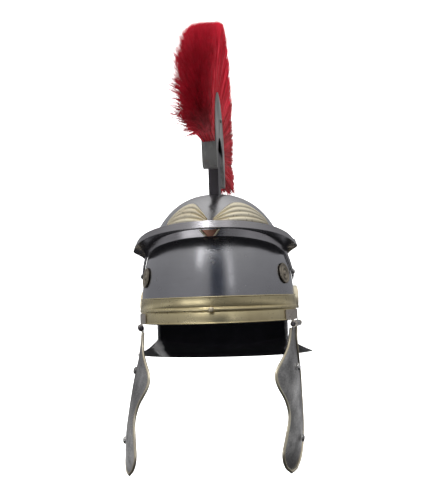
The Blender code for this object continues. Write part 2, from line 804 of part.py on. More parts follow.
def edging_solid(side, radius, overrun):
    """Rod of brass along the cheek guard's open edge."""
    path = [Vector((cheek_edge(share, column), -cheek_down(share))) for share, column in cheek_outline()]
    path[0] += (path[0] - path[1]).normalized() * overrun
    path[-1] += (path[-1] - path[-2]).normalized() * overrun
    rings = []
    for index, place in enumerate(path):
        before, after = path[max(index - 1, 0)], path[min(index + 1, len(path) - 1)]
        run = (after - before).normalized()
        beside = Vector((-run.y, run.x))
        ring = []
        for angle in spread(0, tau, EDGING_SIDES)[:-1]:
            flat = place + beside * (radius * cos(angle))
            ring.append(cheek_point(side, flat.x, -flat.y, radius * sin(angle)))
        rings.append(ring)
    return solid_from_rings(rings)


def make_cheek_guard(label, side):
    """Steel cheek guard with its knuckle, brass edging and bosses, all swung on the hinge."""
    pivot = hinge_pivot("cheek_axis_" + label, side, REST_SWING[label])
    mesh = bmesh.new()
    shares = spread(0, 1, CHEEK_ROWS)

    def face_point(across, share):
        front = cheek_edge(share, "front")
        back = cheek_edge(share, "back")
        return cheek_point(side, front + (back - front) * across, cheek_down(share))

    add_grid(mesh, spread(0, 1, CHEEK_COLUMNS), shares, face_point)
    plate = make_object("cheek_guard_" + label, mesh, "steel", pivot)
    sheet = plate.modifiers.new("sheet", "SOLIDIFY")
    sheet.thickness = CHEEK_SHEET
    sheet.offset = 0
    sheet.use_even_offset = True
    groove = make_cutter("edging_groove_" + label, edging_solid(side, EDGING_RADIUS + GAP, OVERRUN), pivot)
    boolean(plate, "DIFFERENCE", groove)
    width = HINGE_LENGTH * MIDDLE_KNUCKLE_SHARE - GAP * 2
    half = CHEEK_SHEET / 2
    middle = -side * CHEEK_INSET
    low = (middle - half, -width / 2, -CHEEK_TOP * 1.7)
    high = (middle + half, width / 2, 0)
    tongue = make_cutter("cheek_tongue_" + label, box_solid(low, high), pivot)
    knuckle = tube_solid(width + GAP, KNUCKLE_RADIUS, PIN_RADIUS + PIN_FIT)
    roll = make_cutter("cheek_knuckle_" + label, knuckle, pivot)
    boolean(plate, "UNION", tongue)
    boolean(plate, "UNION", roll)
    make_object("cheek_edging_" + label, edging_solid(side, EDGING_RADIUS, 0), "brass", pivot)
    for name, (down_share, back_share) in CHEEK_BOSSES.items():
        boss = make_object(name + "_" + label, turned_solid(dome_profile(BOSS_RADIUS, BOSS_RISE)), "steel", pivot)
        down = cheek_down(down_share)
        rise = cheek_bow(down + BOSS_RADIUS) - cheek_bow(down - BOSS_RADIUS)
        boss.location = cheek_point(side, CHEEK_WIDTH * back_share, down, half + GAP * 1.5)
        boss.rotation_euler = (0, side * atan2(2 * BOSS_RADIUS, rise), 0)


# Crest

def crest_arc(radius, centre_height, end_height, steps):
    """Side view of an arc over the crest, from its front end to its back end."""
    drop = (end_height - centre_height) / radius
    start = atan2(drop, sqrt(1 - drop ** 2))
    angles = spread(start, pi - start, steps)
    return [(CREST_CENTRE_Y - radius * cos(a), centre_height + radius * sin(a)) for a in angles]


def crescent(outer, inner, end_height):
    """Outline between the crest's outer arc and the arch under it."""
    top = crest_arc(outer, CREST_CENTRE_HEIGHT, end_height, CREST_STEPS)
    bottom = crest_arc(inner, CREST_ARCH_CENTRE_HEIGHT, end_height, CREST_STEPS)
    return top + bottom[::-1]


def make_crest():
    """Steel crest box on its post, open above for the plume."""
    outline = crescent(CREST_RADIUS, CREST_ARCH_RADIUS, CREST_END_HEIGHT)
    box = make_object("crest_box", prism_solid(outline, CREST_THICKNESS / 2), "steel")
    room_height = PROW_TOP_HEIGHT
    room = crescent(CREST_RADIUS + OVERRUN, CREST_ARCH_RADIUS + CREST_SHEET, room_height)
    pocket = make_cutter("plume_pocket", prism_solid(room, CREST_THICKNESS / 2 - CREST_SHEET))
    boolean(box, "DIFFERENCE", pocket)
    lower = [
        (y, bowl_surface_height(y) + GAP * 1.5)
        for y in spread(POST_FRONT_Y, POST_BACK_Y, POST_STEPS)
    ]
    upper = [
        (y, crest_arch_height(y) - GAP)
        for y in spread(POST_FRONT_Y, POST_BACK_Y, POST_STEPS)
    ]
    make_object("crest_post", prism_solid(lower + upper[::-1], POST_WIDTH / 2), "dark_steel")
    for label, side in (("left", 1), ("right", -1)):
        rivet = make_object("crest_rivet_" + label, turned_solid(dome_profile(RIVET_RADIUS, RIVET_RISE)), "steel")
        rivet.location = (side * (CREST_THICKNESS / 2 + GAP), CREST_RIVET_Y, CREST_RIVET_HEIGHT)
        rivet.rotation_euler = (0, side * pi / 2, 0)


def bowl_surface_height(y):
    """Height of the dome's outer face on the middle line."""
    length = BOWL_FRONT if y < 0 else BOWL_BACK
    share = abs(y) / length
    return BOWL_HEIGHT * (1 - share ** BOWL_FULLNESS) ** (1 / BOWL_FULLNESS)


def crest_arch_height(y):
    """Height of the arch under the crest box."""
    return CREST_ARCH_CENTRE_HEIGHT + sqrt(CREST_ARCH_RADIUS ** 2 - (y - CREST_CENTRE_Y) ** 2)


def plume_ring(angle, lock):
    """Ring of points across the plume at one angle; lock is 1 on a lock and 0 between two."""
    trim = along(PLUME_TRIM, "angle", angle * 180 / pi, "left")
    root = PLUME_ROOT_WIDTH / 2
    tip = PLUME_RADIUS - LOCK_DEPTH * (1 - lock)
    narrow = LOCK_SIDE_DEPTH * (1 - lock)
    sides = []
    for row in PLUME_PROFILE:
        radius = CREST_RADIUS + GAP + (tip - CREST_RADIUS) * row["up"]
        width = PLUME_ROOT_WIDTH + (PLUME_TIP_WIDTH - PLUME_ROOT_WIDTH) * row["wide"]
        sides.append((radius, width / 2 - narrow * row["wide"]))
    outline = [(radius, root + (half - root) * trim) for radius, half in sides]
    outline += [(radius, -half) for radius, half in reversed(sides)]
    ring = []
    for radius, across in outline:
        y = CREST_CENTRE_Y - radius * cos(angle)
        ring.append(Vector((across, y, CREST_CENTRE_HEIGHT + radius * sin(angle))))
    return ring


def make_plume():
    """Red bristle in locks, fused to the backing that sits in the crest box."""
    steps = 2 * PLUME_LOCKS
    angles = spread(PLUME_FRONT_ANGLE, PLUME_BACK_ANGLE, steps)
    rings = [plume_ring(angle, step % 2) for step, angle in enumerate(angles)]
    plume = make_object("crest_plume", solid_from_rings(rings), "bristle")
    room = crescent(CREST_RADIUS + GAP * 4, CREST_ARCH_RADIUS + CREST_SHEET + GAP, PROW_TOP_HEIGHT + GAP)
    half = CREST_THICKNESS / 2 - CREST_SHEET - GAP
    backing = make_cutter("plume_backing", prism_solid(room, half))
    boolean(plume, "UNION", backing)
    return plume


def clear_scene():
    """Remove the objects that a new scene starts with."""
    for existing in list(bpy.data.objects):
        bpy.data.objects.remove(existing)


clear_scene()
make_bowl()
make_brow_band()
make_brow_guard()
make_brow_tip()
for label, side in (("left", 1), ("right", -1)):
    make_eyebrow(label)
    make_ear_guard("ear_guard_" + label, side)
    make_hinge_leaf(label, side)
    make_cheek_guard(label, side)
make_bowl_fittings()
make_crest()
make_plume()
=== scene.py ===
# %% [markdown]
# # A Roman legionary helmet
#
# The helmet is a raised steel bowl that flares into a neck guard. A brow guard stands out over
# the face, brass trim runs round the brow and the ears, two cheek guards hang on hinges, and a
# fan of red bristle stands in a steel box on top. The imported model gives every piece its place.
# Smooth armour shows its reflections, so most sheets are made again here with many more faces.

from math import atan2, cos, pi, radians, sin, sqrt, tau

import bmesh
import bpy
import numpy as np
from mathutils import Matrix, Vector


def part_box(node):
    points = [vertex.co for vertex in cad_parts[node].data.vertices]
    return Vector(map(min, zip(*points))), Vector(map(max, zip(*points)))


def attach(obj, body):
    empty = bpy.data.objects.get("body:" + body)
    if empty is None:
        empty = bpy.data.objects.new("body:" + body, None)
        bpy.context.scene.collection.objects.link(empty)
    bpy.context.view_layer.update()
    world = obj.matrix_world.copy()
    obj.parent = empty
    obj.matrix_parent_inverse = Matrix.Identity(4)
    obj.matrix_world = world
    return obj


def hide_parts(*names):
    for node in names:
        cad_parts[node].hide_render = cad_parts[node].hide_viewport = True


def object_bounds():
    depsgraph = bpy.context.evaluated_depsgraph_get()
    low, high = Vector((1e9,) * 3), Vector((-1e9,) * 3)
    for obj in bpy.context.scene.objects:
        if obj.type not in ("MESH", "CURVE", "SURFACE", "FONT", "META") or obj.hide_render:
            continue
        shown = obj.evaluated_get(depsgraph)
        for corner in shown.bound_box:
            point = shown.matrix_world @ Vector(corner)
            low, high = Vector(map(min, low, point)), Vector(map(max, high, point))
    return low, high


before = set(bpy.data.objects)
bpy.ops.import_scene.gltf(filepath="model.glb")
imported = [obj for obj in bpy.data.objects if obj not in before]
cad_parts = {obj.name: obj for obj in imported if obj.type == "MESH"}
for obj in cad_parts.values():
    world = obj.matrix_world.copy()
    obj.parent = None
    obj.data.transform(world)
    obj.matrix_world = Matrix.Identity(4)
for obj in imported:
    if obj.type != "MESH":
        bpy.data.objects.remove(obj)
cad_box = [list(corner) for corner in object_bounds()]
print("CAD box in mm:", [[round(value * 1000) for value in corner] for corner in cad_box])

# %% [markdown]
# ## Shader sums
#
# A finish is easier to read as a sum than as a web of nodes. One small class wraps a socket, so
# that `rough = 0.2 + stain * 0.1` adds its own Math nodes. A finish could also be made by hand
# in the shader editor, but then nobody could read its numbers in this file.

# %% A socket that can be added and multiplied
BUMP_DEPTH = 0.0006


class Wire:
    """A value that runs through a node tree."""

    def __init__(self, sheet, socket):
        self.sheet = sheet
        self.socket = socket

    def sum_with(self, operation, first, second):
        return self.sheet.add("ShaderNodeMath", {"operation": operation}, {0: first, 1: second})

    def __add__(self, other):
        return self.sum_with("ADD", self, other)

    def __radd__(self, other):
        return self.sum_with("ADD", other, self)

    def __sub__(self, other):
        return self.sum_with("SUBTRACT", self, other)

    def __rsub__(self, other):
        return self.sum_with("SUBTRACT", other, self)

    def __mul__(self, other):
        return self.sum_with("MULTIPLY", self, other)


class Sheet:
    """The node tree of a material or of the world."""

    def __init__(self, tree):
        self.tree = tree

    def add(self, kind, settings=None, sockets=None, output=0):
        """Add a node, set it up, fill its sockets and return one of its outputs."""
        node = self.tree.nodes.new(kind)
        for name, value in (settings or {}).items():
            setattr(node, name, value)
        self.fill(node, sockets or {})
        return Wire(self, node.outputs[output])

    def fill(self, node, sockets):
        """Link wires to a node's sockets, or set the sockets' values."""
        for name, value in sockets.items():
            if isinstance(value, Wire):
                self.tree.links.new(value.socket, node.inputs[name])
            else:
                node.inputs[name].default_value = value

    def surface(self, sockets):
        """Fill sockets of a material's main shader."""
        self.fill(self.tree.nodes["Principled BSDF"], sockets)

    def blend(self, factor, first, second):
        """Mix two colours, each a wire or three numbers."""
        first, second = (side if isinstance(side, Wire) else (*side, 1) for side in (first, second))
        settings = {"data_type": "RGBA", "clamp_factor": True}
        return self.add("ShaderNodeMix", settings, {0: factor, 6: first, 7: second}, output=2)

    def noise(self, place, scale, detail, stretch=(1, 1, 1)):
        """Soft noise between 0 and 1; a stretch draws it out into streaks."""
        moved = self.add("ShaderNodeMapping", {}, {"Vector": place, "Scale": stretch})
        return self.add("ShaderNodeTexNoise", {}, {"Vector": moved, "Scale": scale, "Detail": detail})

    def contrast(self, value, low, high):
        """Spread a value so that low becomes 0 and high becomes 1."""
        sockets = {"Value": value, "From Min": low, "From Max": high}
        return self.add("ShaderNodeMapRange", {"clamp": True}, sockets)

    def bump(self, height, strength, depth=BUMP_DEPTH):
        """Normal that shows small heights."""
        sockets = {"Height": height, "Strength": strength, "Distance": depth}
        return self.add("ShaderNodeBump", {}, sockets)


def new_finish(name, metallic, base):
    """Material, its sheet and its object coordinates."""
    material = bpy.data.materials.new(name)
    material.use_nodes = True
    material.diffuse_color = (*base, 1)
    sheet = Sheet(material.node_tree)
    sheet.surface({"Metallic": metallic})
    return material, sheet, sheet.add("ShaderNodeTexCoord", output="Object")


print("Shader sums ready")

# %% [markdown]
# ## Polished steel
#
# The bowl, the brow guard and the cheek guards are polished mild steel. The polish leaves fine
# level streaks, and handling leaves cloudy patches and a few darker spots. Streaks are noise
# drawn out along the level, the clouds change the roughness, and both stay faint, because the
# reflections have to stay readable.

# %% Steel finishes
def steel_finish(name, base, roughness, cloud_depth=0.10, streak_stretch=(5, 5, 260), wear=1.0):
    """Polished steel with streaks, clouds and small stains."""
    material, sheet, place = new_finish(name, 1.0, base)
    clouds = sheet.contrast(sheet.noise(place, 16, 5), 0.35, 0.7)
    streaks = sheet.noise(place, 5, 4, streak_stretch)
    spots = sheet.contrast(sheet.noise(place, 150, 3), 0.66, 0.78)
    stains = spots * sheet.contrast(sheet.noise(place, 22, 2), 0.45, 0.7)
    grain = sheet.noise(place, 420, 2)
    dull = [value * (1 - 0.28 * wear) for value in base]
    brown = (base[0] * 0.42, base[1] * 0.36, base[2] * 0.30)
    clouded = sheet.blend((clouds * 0.45 + streaks * 0.25) * wear, base, dull)
    sheet.surface({
        "Base Color": sheet.blend(stains * 0.55 * wear, clouded, brown),
        "Roughness": roughness + clouds * cloud_depth + streaks * 0.06 + stains * 0.2,
        "Normal": sheet.bump(streaks * 0.5 + grain * 0.25, 0.10 * wear),
    })
    return material


polished_steel = steel_finish("polished steel", (0.50, 0.50, 0.525), 0.15)
peak_steel = steel_finish("brow guard steel", (0.40, 0.39, 0.41), 0.17)
guard_steel = steel_finish("cheek guard steel", (0.98, 0.97, 0.95), 0.20, 0.22, (40, 40, 90), 2.6)
crest_steel = steel_finish("crest box steel", (0.98, 0.97, 0.94), 0.38, 0.16, (60, 60, 20), 2.4)
dark_steel = steel_finish("dark post steel", (0.12, 0.11, 0.12), 0.34, 0.14, (90, 90, 12))
print("Steel finishes:", polished_steel.name, guard_steel.name, crest_steel.name, dark_steel.name)

# %% [markdown]
# ## Brass and copper
#
# The trim is rolled brass that has dulled a little: yellow where it is rubbed, browner in
# patches, with dark specks. The rosettes are older and browner, almost black in their grooves.
# Copper wears in the same way, so it is the same finish in redder colours.

# %% Brass finishes
def brass_finish(name, bright, dull, roughness, speck_depth):
    """Brass that runs from rubbed to dull, with dark specks."""
    material, sheet, place = new_finish(name, 1.0, bright)
    patches = sheet.contrast(sheet.noise(place, 26, 5), 0.38, 0.68)
    specks = sheet.contrast(sheet.noise(place, 260, 3), 0.62, 0.75)
    streaks = sheet.noise(place, 6, 4, (4, 4, 200))
    dark = [value * 0.25 for value in dull]
    patched = sheet.blend(patches * 0.75, bright, dull)
    sheet.surface({
        "Base Color": sheet.blend(specks * speck_depth, patched, dark),
        "Roughness": roughness + patches * 0.16 + streaks * 0.05,
        "Normal": sheet.bump(streaks * 0.4 - specks * 0.6, 0.12),
    })
    return material


brass = brass_finish("rolled brass", (0.80, 0.70, 0.43), (0.58, 0.49, 0.29), 0.22, 0.45)
bright_brass = brass_finish("rubbed brass", (0.93, 0.86, 0.68), (0.66, 0.57, 0.41), 0.28, 0.5)
aged_brass = brass_finish("aged brass", (0.46, 0.41, 0.33), (0.11, 0.095, 0.075), 0.36, 0.7)
pale_brass = brass_finish("pale hinge brass", (0.74, 0.68, 0.60), (0.50, 0.45, 0.40), 0.30, 0.5)
copper = brass_finish("red copper", (0.42, 0.22, 0.16), (0.22, 0.10, 0.07), 0.34, 0.5)
print("Brass finishes:", brass.name, bright_brass.name, aged_brass.name, pale_brass.name)

# %% [markdown]
# ## The black inside
#
# The bowl is painted black inside, and the black is made far darker than paint, as painted
# shade: the camera sees almost nothing under the rim. Paint is not a metal: it has a dark colour,
# a satin gloss and a slight grain from the brush. Out on the wings of the neck guard it has worn
# away, and a ragged edge leads to bare steel.

# %% Black paint
PAINT_END = 0.094
BARE_START = 0.112
PAINT_RAGGEDNESS = 0.008
PAINT_ROUGHNESS = 0.75
PAINT_GRAIN_DEPTH = 0.0004


def paint_finish(name, base, roughness):
    """Paint with brush grain: material, sheet, object coordinates and colour."""
    material, sheet, place = new_finish(name, 0.0, base)
    grain = sheet.noise(place, 70, 4, (1, 1, 0.3))
    worn = [value * 2.2 for value in base]
    painted = sheet.blend(grain * 0.5, base, worn)
    normal = sheet.bump(grain, 0.2, PAINT_GRAIN_DEPTH)
    sheet.surface({"Base Color": painted, "Roughness": roughness + grain * 0.2, "Normal": normal})
    return material, sheet, place, painted


def lining_paint_and_shade_finish():
    """Black paint, deepened into painted shade, that gives way to bare steel on the neck guard's wings."""
    # The black here is near zero, far darker than real paint: painted shade inside the bowl.
    material, sheet, place, painted = paint_finish("black paint and painted shade", (0.0015, 0.0015, 0.0025), PAINT_ROUGHNESS)
    across = sheet.add("ShaderNodeSeparateXYZ", {}, {"Vector": place}, output="X")
    reach = sheet.add("ShaderNodeMath", {"operation": "ABSOLUTE"}, {0: across})
    ragged = sheet.noise(place, 40, 3) * PAINT_RAGGEDNESS
    bare = sheet.contrast(reach + ragged, PAINT_END, BARE_START)
    sheet.surface({
        "Base Color": sheet.blend(bare, painted, (0.33, 0.33, 0.33)),
        "Metallic": bare,
        "Roughness": PAINT_ROUGHNESS - bare * 0.4,
        # Almost no gloss, so the painted shade stays black.
        "Specular IOR Level": 0.05,
    })
    return material


black_paint_and_shade = lining_paint_and_shade_finish()
print("Paint:", black_paint_and_shade.name)

# %% [markdown]
# ## The bowl's outer face
#
# Everything on the bowl is set out on its outer face, so that face is a formula: an oval mouth
# that closes towards the top as a superellipse does. A point is given by its azimuth, its
# height and how far it stands out. Plates and trim ask the formula where to lie.

# %% The bowl as a formula
BOWL_HALF_WIDTH = 0.104
BOWL_FRONT = 0.118
BOWL_BACK = 0.125
BOWL_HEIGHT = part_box("bowl")[1].z
BOWL_FULLNESS = 2.4
LEAST_SCALE = 0.02
GAP = 0.0004
SIDES = (("left", 1), ("right", -1))


def bowl_scale(height):
    """Share of the mouth's size that is left at a height."""
    share = min(max(height / BOWL_HEIGHT, 0.0), 1.0)
    return (1.0 - share ** BOWL_FULLNESS) ** (1.0 / BOWL_FULLNESS)


def bowl_length(azimuth):
    """How far the mouth reaches to the front or the back, on the side of an azimuth."""
    return BOWL_FRONT if cos(azimuth) > 0 else BOWL_BACK


def bowl_normal(azimuth, height):
    """Direction straight out of the bowl's outer face, which is level at the mouth."""
    level = max(bowl_scale(height), LEAST_SCALE) ** (BOWL_FULLNESS - 1)
    upward = (max(height, 0.0) / BOWL_HEIGHT) ** (BOWL_FULLNESS - 1) / BOWL_HEIGHT
    across = level * sin(azimuth) / BOWL_HALF_WIDTH
    return Vector((across, -level * cos(azimuth) / bowl_length(azimuth), upward)).normalized()


def bowl_point(azimuth, height, out=0.0):
    """Point at a distance out from the bowl's outer face."""
    scale = bowl_scale(height)
    across = BOWL_HALF_WIDTH * scale * sin(azimuth)
    place = Vector((across, -bowl_length(azimuth) * scale * cos(azimuth), height))
    return place + bowl_normal(azimuth, height) * out


print("Bowl height in mm:", round(BOWL_HEIGHT * 1000, 1))

# %% [markdown]
# ## Helpers for sheets and solids
#
# Sheet metal starts from a flat grid whose corners are moved onto a formula. A solid strip is a
# grid too: it is rolled round a ring of points, its seam is welded and its ends are filled. A
# cut is a Boolean with a solid that is taken away afterwards.

# %% Grids and rings
WELD = 0.00001


def spread(start, end, steps):
    """Evenly spaced values from start to end, both included."""
    return [start + (end - start) * step / steps for step in range(steps + 1)]


def all_round(count):
    """Evenly spaced angles of a full turn."""
    return spread(0, tau, count)[:-1]


def add_grid(mesh, across, up, point):
    """Add a grid of faces whose corner in column u and row v is point(u, v)."""
    made = bmesh.ops.create_grid(mesh, x_segments=len(across) - 1, y_segments=len(up) - 1, size=1)
    places = [point(u, v) for v in up for u in across]
    for vertex, place in zip(made["verts"], places):
        vertex.co = place


def weld(mesh):
    """Join corners that lie on each other."""
    bmesh.ops.remove_doubles(mesh, verts=mesh.verts[:], dist=WELD)


def faced_outwards(mesh):
    """The mesh itself, with all its faces turned outwards."""
    bmesh.ops.recalc_face_normals(mesh, faces=mesh.faces[:])
    return mesh


def moved(mesh, matrix):
    """The mesh itself, after a move."""
    bmesh.ops.transform(mesh, matrix=matrix, verts=mesh.verts[:])
    return mesh


def solid_from_rings(rings, closed=False):
    """Closed solid whose skin joins one ring of points to the next."""
    mesh = bmesh.new()
    count = len(rings[0])
    stations = rings + rings[:1] if closed else rings
    add_grid(mesh, range(count + 1), range(len(stations)), lambda u, v: stations[v][u % count])
    weld(mesh)
    rim = [edge for edge in mesh.edges if edge.is_boundary]
    if rim:
        bmesh.ops.holes_fill(mesh, edges=rim, sides=0)
    return faced_outwards(mesh)


def pushed_solid(outline, half_width):
    """Outline of (y, height) points pushed out to both sides."""
    return solid_from_rings([[Vector((x, y, z)) for y, z in outline] for x in (-half_width, half_width)])


print("Weld distance in mm:", WELD * 1000)

# %% Pieces and cuts
def put_in_scene(name, mesh, finish=None):
    """Object from a finished mesh."""
    data = bpy.data.meshes.new(name)
    mesh.to_mesh(data)
    mesh.free()
    if finish:
        data.materials.append(finish)
    made = bpy.data.objects.new(name, data)
    bpy.context.scene.collection.objects.link(made)
    return made


def make_piece(name, mesh, body, finish, replaces=(), crease=35):
    """Smooth object from a finished mesh, in its place on its body."""
    piece = put_in_scene(name, mesh, finish)
    piece.data.shade_smooth()
    piece.data.set_sharp_from_angle(angle=radians(crease))
    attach(piece, body)
    for node in replaces:
        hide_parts(node)
    return piece


def settle(piece):
    """Apply the modifiers, so that the piece is a plain mesh."""
    bpy.context.view_layer.update()
    seen = piece.evaluated_get(bpy.context.evaluated_depsgraph_get())
    data = bpy.data.meshes.new_from_object(seen)
    piece.modifiers.clear()
    piece.data = data


def round_edges(piece, width, segments=2):
    """Soften the edges of cut sheet."""
    bevel = piece.modifiers.new("rounded edge", "BEVEL")
    bevel.width = width
    bevel.segments = segments
    bevel.limit_method = "ANGLE"
    bevel.angle_limit = radians(40)
    bevel.harden_normals = False
    settle(piece)


def cut_away(piece, name, mesh):
    """Cut a solid out of a piece."""
    cutter = put_in_scene(name, mesh)
    cut = piece.modifiers.new(name, "BOOLEAN")
    cut.operation = "DIFFERENCE"
    cut.object = cutter
    settle(piece)
    bpy.data.objects.remove(cutter)


def triangles(piece):
    """Number of triangles in a piece."""
    return sum(len(face.vertices) - 2 for face in piece.data.polygons)


print("Helpers ready")

# %% [markdown]
# ## Bowl and neck guard
#
# The real bowl is raised from one sheet: the smith hammers the dome, cuts the ear openings and
# flares the nape out into the neck guard. Here three grids meet, for the dome, the nape and the
# guard. Solidify gives the sheet its thickness and paints the inner side with the second
# material, and a Boolean cuts the ear openings.

# %% Nape and neck guard as formulas
NECK_START = radians(112.5)
NAPE_DROP_AT_EAR = 0.025
NAPE_DROP_AT_BACK = 0.040
NECK_HALF_WIDTH = 0.130
NECK_TIP_Y = 0.074
NECK_BACK_Y = 0.168
NECK_TIP_DROP = 0.049
NECK_BACK_DROP = 0.063
NECK_ROUNDNESS = 0.85
NECK_BEND_REACH = 0.12
NECK_BEND_DROP = 0.45


def nape_turn(azimuth):
    """Angle that runs from 0 at the ears to a quarter turn at the middle of the nape."""
    return max(1 - abs(azimuth - pi) / (pi - NECK_START), 0.0) * pi / 2


def nape_drop(azimuth):
    """Depth of the line where the nape turns out into the neck guard."""
    return NAPE_DROP_AT_EAR + (NAPE_DROP_AT_BACK - NAPE_DROP_AT_EAR) * sin(nape_turn(azimuth))


def nape_point(azimuth, share):
    """Point on the nape, from the bowl's mouth down to the nape line."""
    place = bowl_point(azimuth, 0)
    place.z = -nape_drop(azimuth) * share
    return place


def neck_point(azimuth, share):
    """Point on the neck guard, from the nape line to its outer edge."""
    turn = nape_turn(azimuth)
    side = 1 if azimuth < pi else -1
    root = nape_point(azimuth, 1)
    edge = Vector((
        side * NECK_HALF_WIDTH * max(cos(turn), 0.0) ** NECK_ROUNDNESS,
        NECK_TIP_Y + (NECK_BACK_Y - NECK_TIP_Y) * sin(turn) ** NECK_ROUNDNESS,
        -NECK_TIP_DROP - (NECK_BACK_DROP - NECK_TIP_DROP) * sin(turn),
    ))
    bend = root + (edge - root) * NECK_BEND_REACH
    bend.z = root.z + (edge.z - root.z) * NECK_BEND_DROP
    return root * (1 - share) ** 2 + bend * 2 * share * (1 - share) + edge * share ** 2


print("Neck guard width in mm:", NECK_HALF_WIDTH * 2000)

# %% Model the bowl
EAR_CENTRE_Y = 0.026
EAR_HALF_WIDTH = 0.025
EAR_TOP = 0.044
EAR_SPRING = EAR_TOP - EAR_HALF_WIDTH
BOWL_WALL = 0.0014
BOWL_COLUMNS = 240
DOME_ROWS = 64
NAPE_ROWS = 8
GUARD_ROWS = 18
CUTTER_HALF_WIDTH = 0.14
CUTTER_BOTTOM = -NECK_BACK_DROP - 0.01


def model_bowl():
    """Dome, nape and neck guard as one open sheet."""
    mesh = bmesh.new()
    azimuths = spread(0, tau, BOWL_COLUMNS)
    first = round(NECK_START / tau * BOWL_COLUMNS)
    nape = azimuths[first:BOWL_COLUMNS - first + 1]

    def dome_point(azimuth, turn):
        return bowl_point(azimuth, BOWL_HEIGHT * sin(turn) ** (2 / BOWL_FULLNESS))

    add_grid(mesh, azimuths, spread(0, pi / 2, DOME_ROWS), dome_point)
    add_grid(mesh, nape, spread(1, 0, NAPE_ROWS), nape_point)
    add_grid(mesh, nape, spread(1, 0, GUARD_ROWS), neck_point)
    weld(mesh)
    return mesh


def ear_arch(angle, away=0.0):
    """Y and height on the ear opening's arch, or at a distance away from the opening."""
    radius = EAR_HALF_WIDTH + away
    return EAR_CENTRE_Y + radius * cos(angle), EAR_SPRING + radius * sin(angle)


def ear_cutter():
    """Arch that cuts both ear openings."""
    outline = [ear_arch(angle) for angle in spread(0, pi, 40)]
    outline += [(EAR_CENTRE_Y + end * EAR_HALF_WIDTH, CUTTER_BOTTOM) for end in (-1, 1)]
    return pushed_solid(outline, CUTTER_HALF_WIDTH)


bowl = make_piece("bowl_shell", model_bowl(), "helmet", polished_steel, ["bowl"])
bowl.data.materials.append(black_paint_and_shade)
wall = bowl.modifiers.new("wall", "SOLIDIFY")
wall.thickness = BOWL_WALL
wall.offset = -1
wall.use_even_offset = True
wall.material_offset = 1
cut_away(bowl, "ear openings", ear_cutter())
print("Bowl triangles:", triangles(bowl))

# %% [markdown]
# ## Brow band
#
# A brass strip is bent round the brow and riveted on. A raised rib runs along its middle, and
# its edges are slightly rolled. Its section is drawn once, as heights and distances out from
# the bowl, and carried round from ear to ear.

# %% Model the brow band
BAND_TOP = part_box("brow_band")[1].z
BAND_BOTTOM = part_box("brow_band")[0].z
BAND_THICKNESS = 0.0008
BAND_FACE = GAP + BAND_THICKNESS
BAND_LIP = 0.0009
BAND_RIB_HEIGHT = 0.0172
BAND_RIB_HALF_WIDTH = 0.0022
BAND_RIB_RISE = 0.0016
BAND_GROOVE_DEPTH = 0.0003
BAND_END = radians(87)
BAND_COLUMNS = 200


def half_round(height, reach, rise, steps):
    """Points over a rounded ridge on the band's face, from below it to above it."""
    return [(height - reach * cos(a), BAND_FACE + rise * sin(a)) for a in spread(0, pi, steps)]


def band_section():
    """Heights and distances out from the bowl, round the strip's section."""
    groove = ((0.0003, BAND_FACE), (0.0008, BAND_FACE - BAND_GROOVE_DEPTH), (0.0012, BAND_FACE))
    low = BAND_RIB_HEIGHT - BAND_RIB_HALF_WIDTH
    high = BAND_RIB_HEIGHT + BAND_RIB_HALF_WIDTH
    return [
        (BAND_BOTTOM, GAP),
        *half_round(BAND_BOTTOM + BAND_LIP, BAND_LIP, BAND_LIP * 0.9, 6),
        *((low - away, out) for away, out in reversed(groove)),
        *half_round(BAND_RIB_HEIGHT, BAND_RIB_HALF_WIDTH, BAND_RIB_RISE, 8),
        *((high + away, out) for away, out in groove),
        *half_round(BAND_TOP - BAND_LIP, BAND_LIP, BAND_LIP * 0.7, 6),
        (BAND_TOP, GAP),
    ]


rings = [
    [bowl_point(azimuth, height, out) for height, out in band_section()]
    for azimuth in spread(-BAND_END, BAND_END, BAND_COLUMNS)
]
make_piece("brow_band_strip", solid_from_rings(rings), "helmet", brass, ["brow_band"], 50)
print("Band section points:", len(rings[0]))

# %% [markdown]
# ## Brow guard
#
# The peak turns a blow from above. It is one strip of steel with its outer rim turned up and
# its root turned down against the bowl, and its ends run down to a rivet at each temple. The
# table gives the section's shares at a few azimuths, and a smooth curve fills in the rest.

# %% A smooth curve through a table
def along(table, key, value, column):
    """Smooth curve through one column of a table at a value of its key."""
    last = len(table) - 1
    row = 0
    while row < last - 1 and value > table[row + 1][key]:
        row += 1
    start, end = table[row], table[row + 1]
    span = end[key] - start[key]
    share = min(max((value - start[key]) / span, 0.0), 1.0)
    before, after = table[max(row - 1, 0)], table[min(row + 2, last)]
    slope_in = (end[column] - before[column]) / (end[key] - before[key]) * span
    slope_out = (after[column] - start[column]) / (after[key] - start[key]) * span
    cube, square = share ** 3, share ** 2
    held = (2 * cube - 3 * square + 1) * start[column] + (3 * square - 2 * cube) * end[column]
    return held + (cube - 2 * square + share) * slope_in + (cube - square) * slope_out


print("Curve helper ready")

